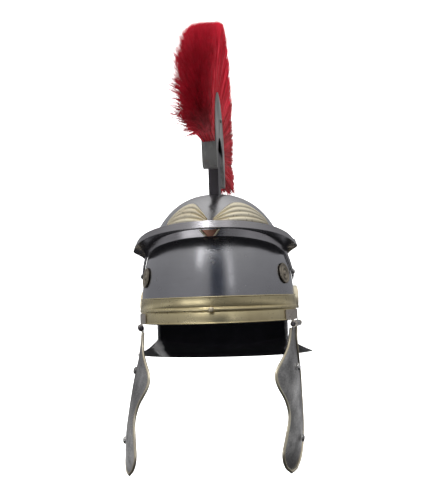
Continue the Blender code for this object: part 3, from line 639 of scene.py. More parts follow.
# %% Model the brow guard
PEAK_SHEET = 0.0012
PEAK_DEPTH = 0.033
PEAK_EDGE_HEIGHT = BOWL_HEIGHT * 0.6584
PEAK_ROOT_HEIGHT = BOWL_HEIGHT * 0.6676
PEAK_RIM = 0.0088
PEAK_RIM_LEAN = 0.0030
PEAK_FLANGE_LEAN = 0.0018
PEAK_ROOT_FLANGE = 0.0095
PEAK_COLUMNS = 220
PEAK_ROUNDING = 0.00035
PEAK_SECTIONS = (
    {"azimuth": 0, "depth": 1.00, "edge": 1.000, "root": 1.000, "rim": 1.00, "flange": 1.00},
    {"azimuth": 20, "depth": 0.97, "edge": 0.990, "root": 0.992, "rim": 1.00, "flange": 1.00},
    {"azimuth": 40, "depth": 0.88, "edge": 0.955, "root": 0.955, "rim": 0.98, "flange": 0.92},
    {"azimuth": 55, "depth": 0.79, "edge": 0.905, "root": 0.900, "rim": 0.95, "flange": 0.70},
    {"azimuth": 66, "depth": 0.68, "edge": 0.855, "root": 0.840, "rim": 0.88, "flange": 0.55},
    {"azimuth": 73, "depth": 0.58, "edge": 0.830, "root": 0.800, "rim": 0.80, "flange": 0.55},
    {"azimuth": 76, "depth": 0.12, "edge": 0.760, "root": 0.745, "rim": 0.40, "flange": 0.60},
    {"azimuth": 79, "depth": 0.09, "edge": 0.680, "root": 0.670, "rim": 0.35, "flange": 0.65},
    {"azimuth": 84, "depth": 0.09, "edge": 0.580, "root": 0.570, "rim": 0.35, "flange": 0.70},
    {"azimuth": 88, "depth": 0.09, "edge": 0.520, "root": 0.510, "rim": 0.35, "flange": 0.70},
)


def out_from(place, azimuth, height, out):
    """Point at a height, at a level distance out from a place on the bowl."""
    reached = place + bowl_normal(azimuth, 0) * out
    reached.z = height
    return reached


def flange_point(azimuth, foot, height, out):
    """Point on the upright face of the root flange, whose foot rests on the bowl."""
    return out_from(bowl_point(azimuth, foot, GAP), azimuth, height, out)


def peak_section(azimuth):
    """Ring of points round the bent sheet at one azimuth."""
    def share(column):
        return along(PEAK_SECTIONS, "azimuth", abs(azimuth) * 180 / pi, column)

    edge_height = PEAK_EDGE_HEIGHT * share("edge")
    root_height = PEAK_ROOT_HEIGHT * share("root")
    rim_top = edge_height + PEAK_RIM * share("rim")
    rim_lean = PEAK_RIM_LEAN * share("rim")
    foot = root_height - PEAK_ROOT_FLANGE * share("flange")
    flange_lean = PEAK_FLANGE_LEAN * share("flange")
    depth = PEAK_DEPTH * share("depth")
    root = bowl_point(azimuth, root_height)
    return [bowl_point(azimuth, height, GAP) for height in spread(foot, root_height, 3)] + [
        bowl_point(azimuth, root_height + PEAK_SHEET, GAP),
        out_from(root, azimuth, edge_height + PEAK_SHEET, depth - PEAK_SHEET),
        out_from(root, azimuth, rim_top, depth - PEAK_SHEET - rim_lean),
        out_from(root, azimuth, rim_top, depth - rim_lean),
        out_from(root, azimuth, edge_height, depth),
        flange_point(azimuth, foot, root_height, PEAK_SHEET + flange_lean),
        flange_point(azimuth, foot, foot, PEAK_SHEET),
    ]


peak_end = radians(PEAK_SECTIONS[-1]["azimuth"])
rings = [peak_section(azimuth) for azimuth in spread(-peak_end, peak_end, PEAK_COLUMNS)]
peak = make_piece("brow_guard_sheet", solid_from_rings(rings), "helmet", peak_steel,
                  ["brow_guard"])
round_edges(peak, PEAK_ROUNDING)
print("Brow guard triangles:", triangles(peak))

# %% [markdown]
# ## Brow tip
#
# A small copper plate with two slanting brass rods covers the joint at the middle of the root.
# It could be one casting, but a plate and two rods are easier to shape and polish apart.

# %% Model the brow tip
TIP_TOP_HALF_WIDTH = 0.0115
TIP_BOTTOM_HALF_WIDTH = 0.006
TIP_THICKNESS = 0.0010
TIP_ROD = 0.0015
TIP_BOWL_RADIUS = BOWL_FRONT / 1.45


def tip_point(across, up, out):
    """Point before the root flange, up it from its foot to its top."""
    foot = PEAK_ROOT_HEIGHT - PEAK_ROOT_FLANGE
    height = foot + (PEAK_ROOT_FLANGE - GAP * 4) * up
    lean = PEAK_FLANGE_LEAN * up + PEAK_SHEET + GAP
    return flange_point(across / TIP_BOWL_RADIUS, foot, height, lean + out)


def tip_half_width(up):
    """Half of the tip's width at a share of its height."""
    return TIP_BOTTOM_HALF_WIDTH + (TIP_TOP_HALF_WIDTH - TIP_BOTTOM_HALF_WIDTH) * up


def model_tip_plate():
    """Plate that widens upwards."""
    rings = []
    for up in spread(0, 1, 8):
        half = tip_half_width(up)
        front = [tip_point(across * half, up, TIP_THICKNESS) for across in spread(-1, 1, 10)]
        back = [tip_point(across * half, up, 0) for across in spread(1, -1, 10)]
        rings.append(front + back)
    return solid_from_rings(rings)


def model_tip_rod(side):
    """Flattened rod up one slanting edge of the plate."""
    rings = []
    for up in spread(0.02, 0.98, 16):
        middle = side * (tip_half_width(up) - TIP_ROD)
        rings.append([
            tip_point(middle + TIP_ROD * cos(a), up, TIP_THICKNESS + GAP + TIP_ROD * 0.8 * (1 + sin(a)))
            for a in all_round(12)
        ])
    return solid_from_rings(rings)


make_piece("brow_tip_plate", model_tip_plate(), "helmet", copper, ["brow_tip"])
for label, side in SIDES:
    make_piece("brow_tip_rod_" + label, model_tip_rod(side), "helmet", bright_brass)
print("Brow tip width in mm:", round(TIP_TOP_HALF_WIDTH * 2000, 1))

# %% [markdown]
# ## Eyebrows
#
# Helmets of this kind carry a pair of embossed eyebrows on the dome. Here they are brass plates
# with ridges that fan out from the middle. Each ridge is a rounded wave across the plate, and
# the plate is widest half way out.

# %% Model the eyebrows
BROW_RIDGES = 4
BROW_RIDGE_STEPS = 8
BROW_RIDGE_RISE = 0.0026
BROW_BACK = GAP * 2
BROW_SHEET = 0.0006
BROW_COLUMNS = 60
BROW_INNER_AZIMUTH = radians(2.5)
BROW_OUTER_AZIMUTH = {"left": radians(58), "right": radians(44)}
BROW_LOW = BOWL_HEIGHT * 0.705
BROW_RISE = BOWL_HEIGHT * 0.173
BROW_SECTIONS = (
    {"out": 0.00, "low": 0.00, "high": 0.20},
    {"out": 0.15, "low": 0.03, "high": 0.58},
    {"out": 0.32, "low": 0.06, "high": 0.88},
    {"out": 0.50, "low": 0.08, "high": 1.00},
    {"out": 0.72, "low": 0.06, "high": 0.92},
    {"out": 0.90, "low": 0.02, "high": 0.62},
    {"out": 1.00, "low": -0.02, "high": 0.28},
)


def model_eyebrow(label, side):
    """Ridged plate over one brow."""
    ups = spread(0, 1, BROW_RIDGE_STEPS * BROW_RIDGES)
    ridged = [BROW_BACK + BROW_SHEET + BROW_RIDGE_RISE * sqrt(abs(sin(pi * BROW_RIDGES * up))) for up in ups]
    section = list(zip(ups, ridged)) + [(up, BROW_BACK) for up in reversed(ups)]
    rings = []
    for out_share in spread(0, 1, BROW_COLUMNS):
        azimuth = BROW_INNER_AZIMUTH + (BROW_OUTER_AZIMUTH[label] - BROW_INNER_AZIMUTH) * out_share
        low = BROW_LOW + BROW_RISE * along(BROW_SECTIONS, "out", out_share, "low")
        high = BROW_LOW + BROW_RISE * along(BROW_SECTIONS, "out", out_share, "high")
        rings.append([bowl_point(side * azimuth, low + (high - low) * up, out) for up, out in section])
    return solid_from_rings(rings)


for label, side in SIDES:
    make_piece("eyebrow_plate_" + label, model_eyebrow(label, side), "helmet", bright_brass,
               ["eyebrow_" + label], 60)
print("Eyebrow ridges on each side:", BROW_RIDGES)

# %% [markdown]
# ## Ear guards
#
# A brass angle strip is riveted round the top of each ear opening and stands out over the ear.
# Its L section follows the arch, and at the arch's ends it runs straight down as two legs.

# %% Model the ear guards
EAR_GUARD_FLAT = 0.0055
EAR_GUARD_SHEET = 0.0013
EAR_GUARD_REACH = 0.0075
EAR_GUARD_LEG_BOTTOM = 0.014
EAR_GUARD_ROUNDING = 0.0003


def bowl_azimuth_at(y, height):
    """Azimuth on the wearer's left where the bowl's face crosses a Y value."""
    length = BOWL_FRONT if y < 0 else BOWL_BACK
    share = min(max(-y / (length * bowl_scale(height)), -1.0), 1.0)
    return atan2(sqrt(1 - share ** 2), share)


def model_ear_guard(side):
    """Angle strip round one ear opening."""
    leg = EAR_SPRING - EAR_GUARD_LEG_BOTTOM
    rings = []
    for angle, drop in [(0, leg)] + [(angle, 0) for angle in spread(0, pi, 48)] + [(pi, leg)]:
        reach = EAR_GUARD_REACH * (0.70 + 0.30 * sin(angle))
        corners = (
            (GAP, GAP), (EAR_GUARD_FLAT, GAP), (EAR_GUARD_FLAT, EAR_GUARD_SHEET),
            (EAR_GUARD_SHEET, EAR_GUARD_SHEET), (EAR_GUARD_SHEET, reach), (GAP, reach),
        )
        ring = []
        for away, out in corners:
            y, height = ear_arch(angle, away)
            place = bowl_point(bowl_azimuth_at(y, height - drop), height - drop, out)
            ring.append(Vector((side * place.x, place.y, place.z)))
        rings.append(ring)
    return solid_from_rings(rings)


for label, side in SIDES:
    guard = make_piece("ear_guard_strip_" + label, model_ear_guard(side), "helmet", bright_brass,
                       ["ear_guard_" + label])
    round_edges(guard, EAR_GUARD_ROUNDING)
print("Ear guard triangles:", triangles(guard))

# %% [markdown]
# ## Rosettes and rivets
#
# The rosettes are small cast discs with a rim, a ring and a boss, riveted to the bowl's sides.
# Each is a half section spun round, then seated along the bowl's normal.

# %% Turned pieces
def turned_solid(profile, sides=48):
    """Half section of (radius, height) points spun about +Z."""
    mesh = bmesh.new()
    corners = [mesh.verts.new((radius, 0, height)) for radius, height in profile]
    edges = [mesh.edges.new(pair) for pair in zip(corners, corners[1:])]
    bmesh.ops.spin(mesh, geom=corners + edges, cent=(0, 0, 0), axis=(0, 0, 1), angle=tau,
                   steps=sides, use_merge=True)
    weld(mesh)
    return faced_outwards(mesh)


def domed_head(radius, rise):
    """Domed head with a short straight edge."""
    edge = rise * 0.25
    arc = [(radius * cos(a), edge + (rise - edge) * sin(a)) for a in spread(0, pi / 2, 10)]
    return turned_solid([(0, 0), (radius * 0.98, 0)] + arc[:-1] + [(0, rise)])


print("Turned pieces ready")

# %% Model the rosettes and the rivet
RIVET_RADIUS = 0.0034
RIVET_RISE = 0.0026
RIVET_OUT = BAND_FACE + GAP + BAND_RIB_RISE
ROSETTE_RADIUS = 0.0135
ROSETTE_RISE = 0.0022
ROSETTE_AZIMUTH = radians(62)
ROSETTE_HEIGHT = 0.060
# Shares of the radius and of the rise
ROSETTE_SECTION = (
    (0, 0), (0.98, 0), (1, 0.3), (0.98, 0.6), (0.93, 0.82), (0.87, 0.82), (0.80, 0.5),
    (0.76, 0.35), (0.62, 0.35), (0.57, 0.7), (0.50, 0.92), (0.43, 0.7), (0.38, 0.35),
    (0.27, 0.35), (0.24, 0.8), (0.16, 1.1), (0, 1.2),
)


def seat_on_bowl(mesh, azimuth, height, out):
    """Move a turned mesh onto the bowl, its axis along the surface normal."""
    turn = bowl_normal(azimuth, height).to_track_quat("Z", "Y").to_matrix().to_4x4()
    return moved(mesh, Matrix.Translation(bowl_point(azimuth, height, out)) @ turn)


rivet = seat_on_bowl(domed_head(RIVET_RADIUS, RIVET_RISE), 0, BAND_RIB_HEIGHT, RIVET_OUT)
make_piece("brow_rivet_head", rivet, "helmet", bright_brass, ["brow_rivet"])
for label, side in SIDES:
    disc = turned_solid([(ROSETTE_RADIUS * r, ROSETTE_RISE * h) for r, h in ROSETTE_SECTION], 72)
    seat_on_bowl(disc, side * ROSETTE_AZIMUTH, ROSETTE_HEIGHT, GAP)
    make_piece("rosette_disc_" + label, disc, "helmet", aged_brass, ["rosette_" + label], 50)
print("Rosette diameter in mm:", ROSETTE_RADIUS * 2000)

# %% [markdown]
# ## Cheek guards
#
# Each cheek guard is a flat steel plate, cut to an outline with a lobe over the cheekbone, a
# recess by the mouth and a lobe at the chin, then bent round the face. Brass edging runs round
# its open edge. The plate is made in the hinge's own frame and then turned to how it hangs.

# %% The hinge's frame
HINGE_AZIMUTH = radians(76)
HINGE_LENGTH = 0.044
KNUCKLE_LENGTH = HINGE_LENGTH * 0.40
KNUCKLE_RADIUS = 0.0042
KNUCKLE_BORE = 0.0018
HINGE_DROP = KNUCKLE_RADIUS + 0.0008
LEAF_OUT = BAND_FACE + GAP + 0.0006
REST_SWING = {"left": radians(-2.0), "right": radians(7.0)}


def hinge_place(side, swing=0.0):
    """Matrix from the hinge's frame, Y along the axis, to the helmet's."""
    outward = bowl_normal(HINGE_AZIMUTH, 0)
    toe_in = atan2(-outward.y, outward.x)
    centre = bowl_point(HINGE_AZIMUTH, 0, LEAF_OUT)
    place = Matrix.Translation((side * centre.x, centre.y, -HINGE_DROP))
    return place @ Matrix.Rotation(-side * toe_in, 4, "Z") @ Matrix.Rotation(-side * swing, 4, "Y")


print("Hinge centre in mm:", [round(value * 1000, 1) for value in hinge_place(1).translation])

# %% The cheek plate as a formula
CHEEK_LENGTH = 0.184
CHEEK_WIDTH = 0.100
CHEEK_SHEET = 0.0013
CHEEK_BEND_RADIUS = 0.150
CHEEK_BEND_CENTRE = 0.008
CHEEK_BEND_START = 0.050
CHEEK_TOP = 0.0054
CHEEK_INSET = KNUCKLE_RADIUS - CHEEK_SHEET / 2
CHEEK_SECTIONS = (
    {"down": 0.00, "front": -0.22, "back": 0.22, "bow": 0.000},
    {"down": 0.10, "front": -0.27, "back": 0.24, "bow": 0.000},
    {"down": 0.20, "front": -0.43, "back": 0.31, "bow": 0.016},
    {"down": 0.30, "front": -0.58, "back": 0.40, "bow": 0.038},
    {"down": 0.38, "front": -0.57, "back": 0.45, "bow": 0.053},
    {"down": 0.50, "front": -0.43, "back": 0.48, "bow": 0.068},
    {"down": 0.61, "front": -0.38, "back": 0.48, "bow": 0.078},
    {"down": 0.73, "front": -0.46, "back": 0.46, "bow": 0.084},
    {"down": 0.85, "front": -0.51, "back": 0.38, "bow": 0.074},
    {"down": 0.94, "front": -0.42, "back": 0.20, "bow": 0.053},
    {"down": 1.00, "front": -0.24, "back": -0.02, "bow": 0.032},
)


def cheek_down(share):
    """Distance down the plate at a share of its length."""
    return CHEEK_TOP + (CHEEK_LENGTH - CHEEK_TOP) * share


def cheek_size(share, column):
    """Front edge, back edge or bow at a share of the plate's length."""
    return CHEEK_WIDTH * along(CHEEK_SECTIONS, "down", share, column)


def cheek_bow(down):
    """How far the plate's middle stands out from the hinge axis."""
    return cheek_size((down - CHEEK_TOP) / (CHEEK_LENGTH - CHEEK_TOP), "bow") - CHEEK_INSET


def cheek_point(side, back, down, out=0.0):
    """Point in the hinge's frame: back along the axis, down the plate and out from it."""
    start = min(max((down - CHEEK_TOP) / CHEEK_BEND_START, 0.0), 1.0)
    ease = start * start * (3 - 2 * start)
    reach = back - CHEEK_BEND_CENTRE
    bend = ease * (CHEEK_BEND_RADIUS - sqrt(CHEEK_BEND_RADIUS ** 2 - reach ** 2))
    return Vector((side * (out + cheek_bow(down) - bend), back, -down))


print("End of the cheek plate in mm:", [round(value * 1000) for value in cheek_point(1, 0, CHEEK_LENGTH)])

# %% Plate, knuckle and tongue
CHEEK_ROWS = 90
CHEEK_COLUMNS = 36
TONGUE_LENGTH = 0.009


def add_knuckle(mesh):
    """Add the middle knuckle, a tube about the hinge's axis."""
    end = (KNUCKLE_LENGTH - GAP) / 2
    corners = ((KNUCKLE_RADIUS, -end), (KNUCKLE_RADIUS, end), (KNUCKLE_BORE, end), (KNUCKLE_BORE, -end))
    rings = [[Vector((r * cos(a), y, r * sin(a))) for r, y in corners] for a in all_round(32)]
    knuckle = put_in_scene("knuckle", solid_from_rings(rings, closed=True))
    mesh.from_mesh(knuckle.data)
    bpy.data.objects.remove(knuckle)


def add_tongue(mesh, side):
    """Add the flat tongue that joins the plate to its knuckle."""
    tongue = bmesh.ops.create_cube(mesh, size=1)["verts"]
    bmesh.ops.scale(mesh, vec=(CHEEK_SHEET, KNUCKLE_LENGTH - GAP * 2, TONGUE_LENGTH), verts=tongue)
    bmesh.ops.translate(mesh, vec=(-side * CHEEK_INSET, 0, -TONGUE_LENGTH / 2), verts=tongue)


def model_cheek_plate(side):
    """Bent sheet inside the plate's outline, with its tongue and its knuckle."""
    mesh = bmesh.new()

    def face_point(across, share):
        front = cheek_size(share, "front")
        back = cheek_size(share, "back")
        return cheek_point(side, front + (back - front) * across, cheek_down(share))

    add_grid(mesh, spread(0, 1, CHEEK_COLUMNS), spread(0, 1, CHEEK_ROWS), face_point)
    bmesh.ops.solidify(faced_outwards(mesh), geom=mesh.faces[:], thickness=CHEEK_SHEET)
    faced_outwards(moved(mesh, Matrix.Translation((-side * CHEEK_SHEET / 2, 0, 0))))
    add_knuckle(mesh)
    add_tongue(mesh, side)
    return mesh


print("Cheek plate thickness in mm:", CHEEK_SHEET * 1000)

# %% Edging and bosses
EDGING_RADIUS = 0.0017
BOSS_RADIUS = 0.0048
BOSS_RISE = 0.0034
BOSS_SPAN = 0.010
CHEEK_BOSSES = {"upper_boss": (0.29, 0.08), "lower_boss": (0.80, 0.08)}


def model_edging(side):
    """Rod of brass down the front edge, round the chin and up the back edge."""
    shares = spread(0, 1, CHEEK_ROWS)
    path = [Vector((cheek_size(share, "front"), -cheek_down(share))) for share in shares]
    chin = spread(cheek_size(1, "front"), cheek_size(1, "back"), 12)
    path += [Vector((back, -cheek_down(1))) for back in chin[1:-1]]
    path += [Vector((cheek_size(share, "back"), -cheek_down(share))) for share in reversed(shares)]
    rings = []
    for index, place in enumerate(path):
        before, after = path[max(index - 1, 0)], path[min(index + 1, len(path) - 1)]
        run = (after - before).normalized()
        beside = Vector((-run.y, run.x))
        ring = []
        for angle in all_round(12):
            flat = place + beside * (EDGING_RADIUS * cos(angle))
            ring.append(cheek_point(side, flat.x, -flat.y, EDGING_RADIUS * sin(angle)))
        rings.append(ring)
    return solid_from_rings(rings)


def boss_place(side, down, back):
    """Matrix that seats a boss on the plate's outer face."""
    rise = cheek_bow(down + BOSS_SPAN / 2) - cheek_bow(down - BOSS_SPAN / 2)
    spot = cheek_point(side, back, down, CHEEK_SHEET / 2)
    return Matrix.Translation(spot) @ Matrix.Rotation(side * atan2(BOSS_SPAN, rise), 4, "Y")


print("Bosses on each cheek guard:", len(CHEEK_BOSSES))

# %% Hang the cheek guards
for label, side in SIDES:
    body = "cheek_" + label
    hang = hinge_place(side, REST_SWING[label])
    plate = moved(model_cheek_plate(side), hang)
    make_piece("cheek_plate_" + label, plate, body, guard_steel, ["cheek_guard_" + label])
    edging = moved(model_edging(side), hang)
    make_piece("cheek_edging_rod_" + label, edging, body, bright_brass,
               ["cheek_edging_" + label], 60)
    for name, (down_share, back_share) in CHEEK_BOSSES.items():
        seat = boss_place(side, cheek_down(down_share), CHEEK_WIDTH * back_share)
        boss = moved(domed_head(BOSS_RADIUS, BOSS_RISE), hang @ seat)
        make_piece(name + "_head_" + label, boss, body, guard_steel, [name + "_" + label])
print("Cheek guards hang at, in degrees:", [round(swing * 180 / pi) for swing in REST_SWING.values()])

# %% [markdown]
# ## Crest box
#
# The crest stands on a dark post, and a thin steel box in the shape of a crescent holds the
# bristle. The box is a crescent pushed out to both sides, with a pocket cut into its outer rim.

# %% Model the crest box
CREST_CENTRE_Y = 0.008
CREST_CENTRE_HEIGHT = 0.232
CREST_RADIUS = 0.087
CREST_END_HEIGHT = 0.199
CREST_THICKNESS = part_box("crest_box")[1].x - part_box("crest_box")[0].x
CREST_ARCH_RADIUS = 0.066
CREST_ARCH_CENTRE_HEIGHT = 0.189
CREST_SHEET = 0.0012
CREST_COLUMNS = 96
CREST_ROUNDING = 0.0005
POCKET_RISE = 0.002
PROW_TOP_HEIGHT = 0.237


def crest_arc(radius, centre_height, end_height):
    """Side view of an arc over the crest, from its front end to its back end."""
    drop = (end_height - centre_height) / radius
    start = atan2(drop, sqrt(1 - drop ** 2))
    angles = spread(start, pi - start, CREST_COLUMNS)
    return [(CREST_CENTRE_Y - radius * cos(a), centre_height + radius * sin(a)) for a in angles]


def model_crescent(outer, inner, end_height, half_width):
    """Crescent between two arcs, pushed out to both sides."""
    top = crest_arc(outer, CREST_CENTRE_HEIGHT, end_height)
    bottom = crest_arc(inner, CREST_ARCH_CENTRE_HEIGHT, end_height)
    return pushed_solid(top + bottom[::-1], half_width)


crescent = model_crescent(CREST_RADIUS, CREST_ARCH_RADIUS, CREST_END_HEIGHT, CREST_THICKNESS / 2)
crest_box = make_piece("crest_box_sheet", crescent, "helmet", crest_steel, ["crest_box"])
pocket = model_crescent(CREST_RADIUS + POCKET_RISE, CREST_ARCH_RADIUS + CREST_SHEET, PROW_TOP_HEIGHT,
                        CREST_THICKNESS / 2 - CREST_SHEET)
cut_away(crest_box, "plume pocket", pocket)
round_edges(crest_box, CREST_ROUNDING, 3)
print("Crest box thickness in mm:", round(CREST_THICKNESS * 1000, 1))

# %% [markdown]
# ## Plume
#
# A crest brush holds tens of thousands of bristles. Each bristle here is a thin three-sided
# spike of ten triangles, bent once. Arrays work out all of them at once, in a few tufts, and
# clumps share a shade and a lean. A solid fan stands inside, so that no light shows through, and
# its deep red is painted shade. Each bristle darkens towards its root as painted shade, and the
# plume lightens towards its top as painted light.

# %% Bristle finish
def bristle_finish(name, bright, deep):
    """Red bristle, each spike in its own shade, with painted shade at the roots and painted light on top."""
    material, sheet, place = new_finish(name, 0.0, bright)
    shade = sheet.add("ShaderNodeAttribute", {"attribute_name": "shade"}, output="Fac")
    patches = sheet.contrast(sheet.noise(place, 30, 3), 0.3, 0.7)
    # Height brightens the upper plume: painted light on its top.
    height = sheet.add("ShaderNodeSeparateXYZ", {}, {"Vector": place}, output="Z")
    top = sheet.contrast(height, 0.30, 0.42)
    sheet.surface({
        "Base Color": sheet.blend(shade * 0.65 + patches * 0.1 + top * 0.35, deep, bright),
        "Roughness": 0.75 - patches * 0.2,
        "Specular IOR Level": 0.15,
    })
    return material


bristle_red = bristle_finish("red bristle", (0.60, 0.015, 0.040), (0.10, 0.0005, 0.001))
print("Bristle:", bristle_red.name)

# %% Model the fan inside
PLUME_ROOT_HALF_WIDTH = 0.0076
PLUME_FRONT_ANGLE = radians(0.5)
PLUME_BACK_ANGLE = radians(188)
# Angle in degrees, then the tips' distance from the middle on the wearer's right and left
PLUME_SPREAD = (
    {"angle": -2, "right": 0.0310, "left": 0.0100},
    {"angle": 18, "right": 0.0300, "left": 0.0115},
    {"angle": 45, "right": 0.0250, "left": 0.0180},
    {"angle": 70, "right": 0.0230, "left": 0.0225},
    {"angle": 120, "right": 0.0230, "left": 0.0225},
    {"angle": 188, "right": 0.0210, "left": 0.0205},
)
CORE_INSET_ANGLE = 0.06
CORE_FILL = 0.93
# Radius and share of the way from the root's half width to the tips'
CORE_SECTION = ((0.080, 0.0), (0.108, 0.10), (0.135, 0.45), (0.160, 0.76), (0.164, 0.70))


def tip_reach(angle, side):
    """Distance of the tips from the middle on one side at an angle."""
    angles = np.radians([row["angle"] for row in PLUME_SPREAD])
    return np.interp(angle, angles, [row[side] for row in PLUME_SPREAD])


def fan_point(x, radius, angle):
    """Place in the crest's fan, for one point or for arrays of them."""
    return x, CREST_CENTRE_Y - radius * np.cos(angle), CREST_CENTRE_HEIGHT + radius * np.sin(angle)


def core_ring(angle):
    """Ring of points round the inner fan at one angle."""
    def half_width(side, share):
        widening = tip_reach(angle, side) * CORE_FILL - PLUME_ROOT_HALF_WIDTH
        return PLUME_ROOT_HALF_WIDTH + widening * share

    ring = [(half_width("left", share), radius) for radius, share in CORE_SECTION]
    ring += [(-half_width("right", share), radius) for radius, share in reversed(CORE_SECTION)]
    return [Vector(fan_point(x, radius, angle)) for x, radius in ring]


angles = spread(PLUME_FRONT_ANGLE + CORE_INSET_ANGLE, PLUME_BACK_ANGLE - CORE_INSET_ANGLE, 80)
core_mesh = solid_from_rings([core_ring(angle) for angle in angles])
# The fan has no shade attribute, so it takes the deep red: painted shade inside the brush.
core = make_piece("plume_core", core_mesh, "helmet", bristle_red, ["crest_plume"])
print("Inner fan triangles:", triangles(core))

# %% Model the bristles
PLUME_RADIUS = 0.180
PLUME_ROOT_RADIUS = 0.084
TUFTS = 5
BRISTLES = 15600
CLUMPS = 800
ROOT_RADIUS = 0.00055
BEND_RADIUS = 0.00048
BEND_SHARE = 0.62
EDGE_TRIM = 0.0035
FRONT_DROOP = 0.025
# How far clumps stray from the fan, and bristles from their clump
CLUMP_STRAY = {"length": 0.0030, "sway": 0.018, "flare": 0.0016, "shade": 0.22}
BRISTLE_STRAY = {
    "angle": 0.016, "across": 0.10, "length": 0.0013, "flare": 0.0008, "sway": 0.006, "shade": 0.16,
}


def front_share(angle, end, span):
    """1 at the plume's front, falling to 0 at an end angle."""
    return np.clip((end - angle) / span, 0, 1)


def bristle_points(random, low_angle, high_angle):
    """Root, bend and tip of every bristle in a tuft, and its shade."""
    def clump_stray(name, middle=0.0):
        return random.normal(middle, CLUMP_STRAY[name], CLUMPS)

    def stray(name):
        return random.normal(0, BRISTLE_STRAY[name], BRISTLES)

    clump_angle = random.uniform(low_angle, high_angle, CLUMPS)
    clump_across = random.uniform(-1, 1, CLUMPS)
    clump_length = -np.abs(clump_stray("length"))
    clump_sway = clump_stray("sway")
    clump_flare = clump_stray("flare")
    clump_shade = clump_stray("shade", 0.5)
    pick = random.integers(0, CLUMPS, BRISTLES)
    angle = clump_angle[pick] + stray("angle")
    across = np.clip(clump_across[pick] + stray("across"), -1, 1)
    edge = np.clip(-across, 0, 1) ** 3 * front_share(angle, 1.15, 0.6)
    length = PLUME_RADIUS + clump_length[pick] - EDGE_TRIM * across ** 6
    length += stray("length") * (1 + edge)
    reach = np.where(across < 0, tip_reach(angle, "right"), tip_reach(angle, "left"))
    flare = reach * across + clump_flare[pick] * (1 + edge * 4)
    flare += stray("flare") * (1 + edge * 2)
    sway = clump_sway[pick] * (1 + edge * 4) + stray("sway") * (1 + edge)
    bend = 1.3 + 2.4 * front_share(angle, 0.9, 0.9) ** 2
    droop = FRONT_DROOP * front_share(angle, 0.35, 0.35)
    places = []
    for share in (0.0, BEND_SHARE, 1.0):
        radius = PLUME_ROOT_RADIUS + (length - PLUME_ROOT_RADIUS) * share
        root_x = PLUME_ROOT_HALF_WIDTH * across
        x = root_x + (flare - root_x) * share ** bend
        places.append(np.stack(fan_point(x, radius, angle + (sway - droop) * share ** 2), axis=1))
    shade = np.clip(clump_shade[pick] + stray("shade"), 0, 1)
    return places, shade


def unit(rows):
    """Each row of an array brought to length 1."""
    return rows / np.linalg.norm(rows, axis=1, keepdims=True)


def tuft_mesh(name, random, low_angle, high_angle):
    """One joined mesh of closed three-sided spikes, each bent once."""
    (root, bend, tip), shade = bristle_points(random, low_angle, high_angle)
    run = unit(tip - root)
    beside = unit(np.cross(run, np.where(np.abs(run[:, :1]) < 0.9, (1.0, 0.0, 0.0), (0.0, 1.0, 0.0))))
    across = np.cross(run, beside)
    turn = random.uniform(0, tau, BRISTLES)[:, None]
    corners = []
    for centre, radius in ((root, ROOT_RADIUS), (bend, BEND_RADIUS)):
        for angle in all_round(3):
            corners.append(centre + (beside * np.cos(turn + angle) + across * np.sin(turn + angle)) * radius)
    corners.append(tip)
    # Each bristle darkens towards its root, down to 0.35 of its shade: painted shade inside the brush.
    light = [0.0] * 3 + [0.55] * 3 + [1.0]
    points = np.stack(corners, axis=1).reshape(-1, 3)
    pattern = [(0, 2, 1)]
    for low, high in ((0, 1), (1, 2), (2, 0)):
        pattern += [(low, high, high + 3), (low, high + 3, low + 3), (low + 3, high + 3, 6)]
    first_corner = len(corners) * np.arange(BRISTLES)[:, None, None]
    faces = (np.array(pattern) + first_corner).reshape(-1, 3)
    data = bpy.data.meshes.new(name)
    data.from_pydata(points.tolist(), [], faces.tolist())
    values = np.repeat(shade, len(corners)) * (0.35 + 0.65 * np.tile(light, BRISTLES))
    layer = data.attributes.new("shade", "FLOAT", "POINT")
    layer.data.foreach_set("value", values.astype(np.float32))
    return data


random = np.random.default_rng(7)
bounds = spread(PLUME_FRONT_ANGLE, PLUME_BACK_ANGLE, TUFTS)
for index, (low_angle, high_angle) in enumerate(zip(bounds, bounds[1:])):
    data = tuft_mesh("plume_tuft_%d" % index, random, low_angle, high_angle)
    data.materials.append(bristle_red)
    tuft = bpy.data.objects.new(data.name, data)
    bpy.context.scene.collection.objects.link(tuft)
    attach(tuft, "helmet")
    tuft.visible_glossy = False
print("Bristles:", TUFTS * BRISTLES)

# %% [markdown]
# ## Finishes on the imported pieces
#
# The post, the hinges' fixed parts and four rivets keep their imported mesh, because it has all
# the faces that such small plain pieces need. They only get a finish.

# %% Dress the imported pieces
finish_of = {"crest_post": dark_steel}
for label in ("left", "right"):
    finish_of["hinge_leaf_" + label] = pale_brass
    finish_of["hinge_pin_" + label] = dark_steel
    finish_of["peak_rivet_" + label] = guard_steel
    finish_of["crest_rivet_" + label] = crest_steel
for node, finish in finish_of.items():
    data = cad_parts[node].data
    data.materials.clear()
    data.materials.append(finish)
print("Packed pieces dressed:", len(finish_of))

# %% [markdown]
# ## Floor, light and camera
#
# Polished steel shows its surroundings, so the surroundings are the light. The sky is pale
# above and darker below, two tall soft boxes make the bright bars on the brow, and a black card
# between them makes the dark bar. The pale floor curves up all round into the backdrop.

# %% Floor and backdrop
FLOOR = cad_box[0][2] - 0.05
FLOOR_RADIUS = 2.2
SWEEP_RADIUS = 1.2
BACKDROP_HEIGHT = 5.0


def pale_finish():
    """Matte white with a little light of its own."""
    material, sheet, place = new_finish("pale studio floor", 0.0, (0.9, 0.9, 0.9))
    sheet.surface({
        "Base Color": sheet.blend(sheet.noise(place, 2, 2) * 0.1, (0.9, 0.9, 0.9), (0.86, 0.86, 0.87)),
        "Roughness": 0.9,
        "Emission Color": (1, 1, 1, 1),
        "Emission Strength": 0.50,
    })
    return material


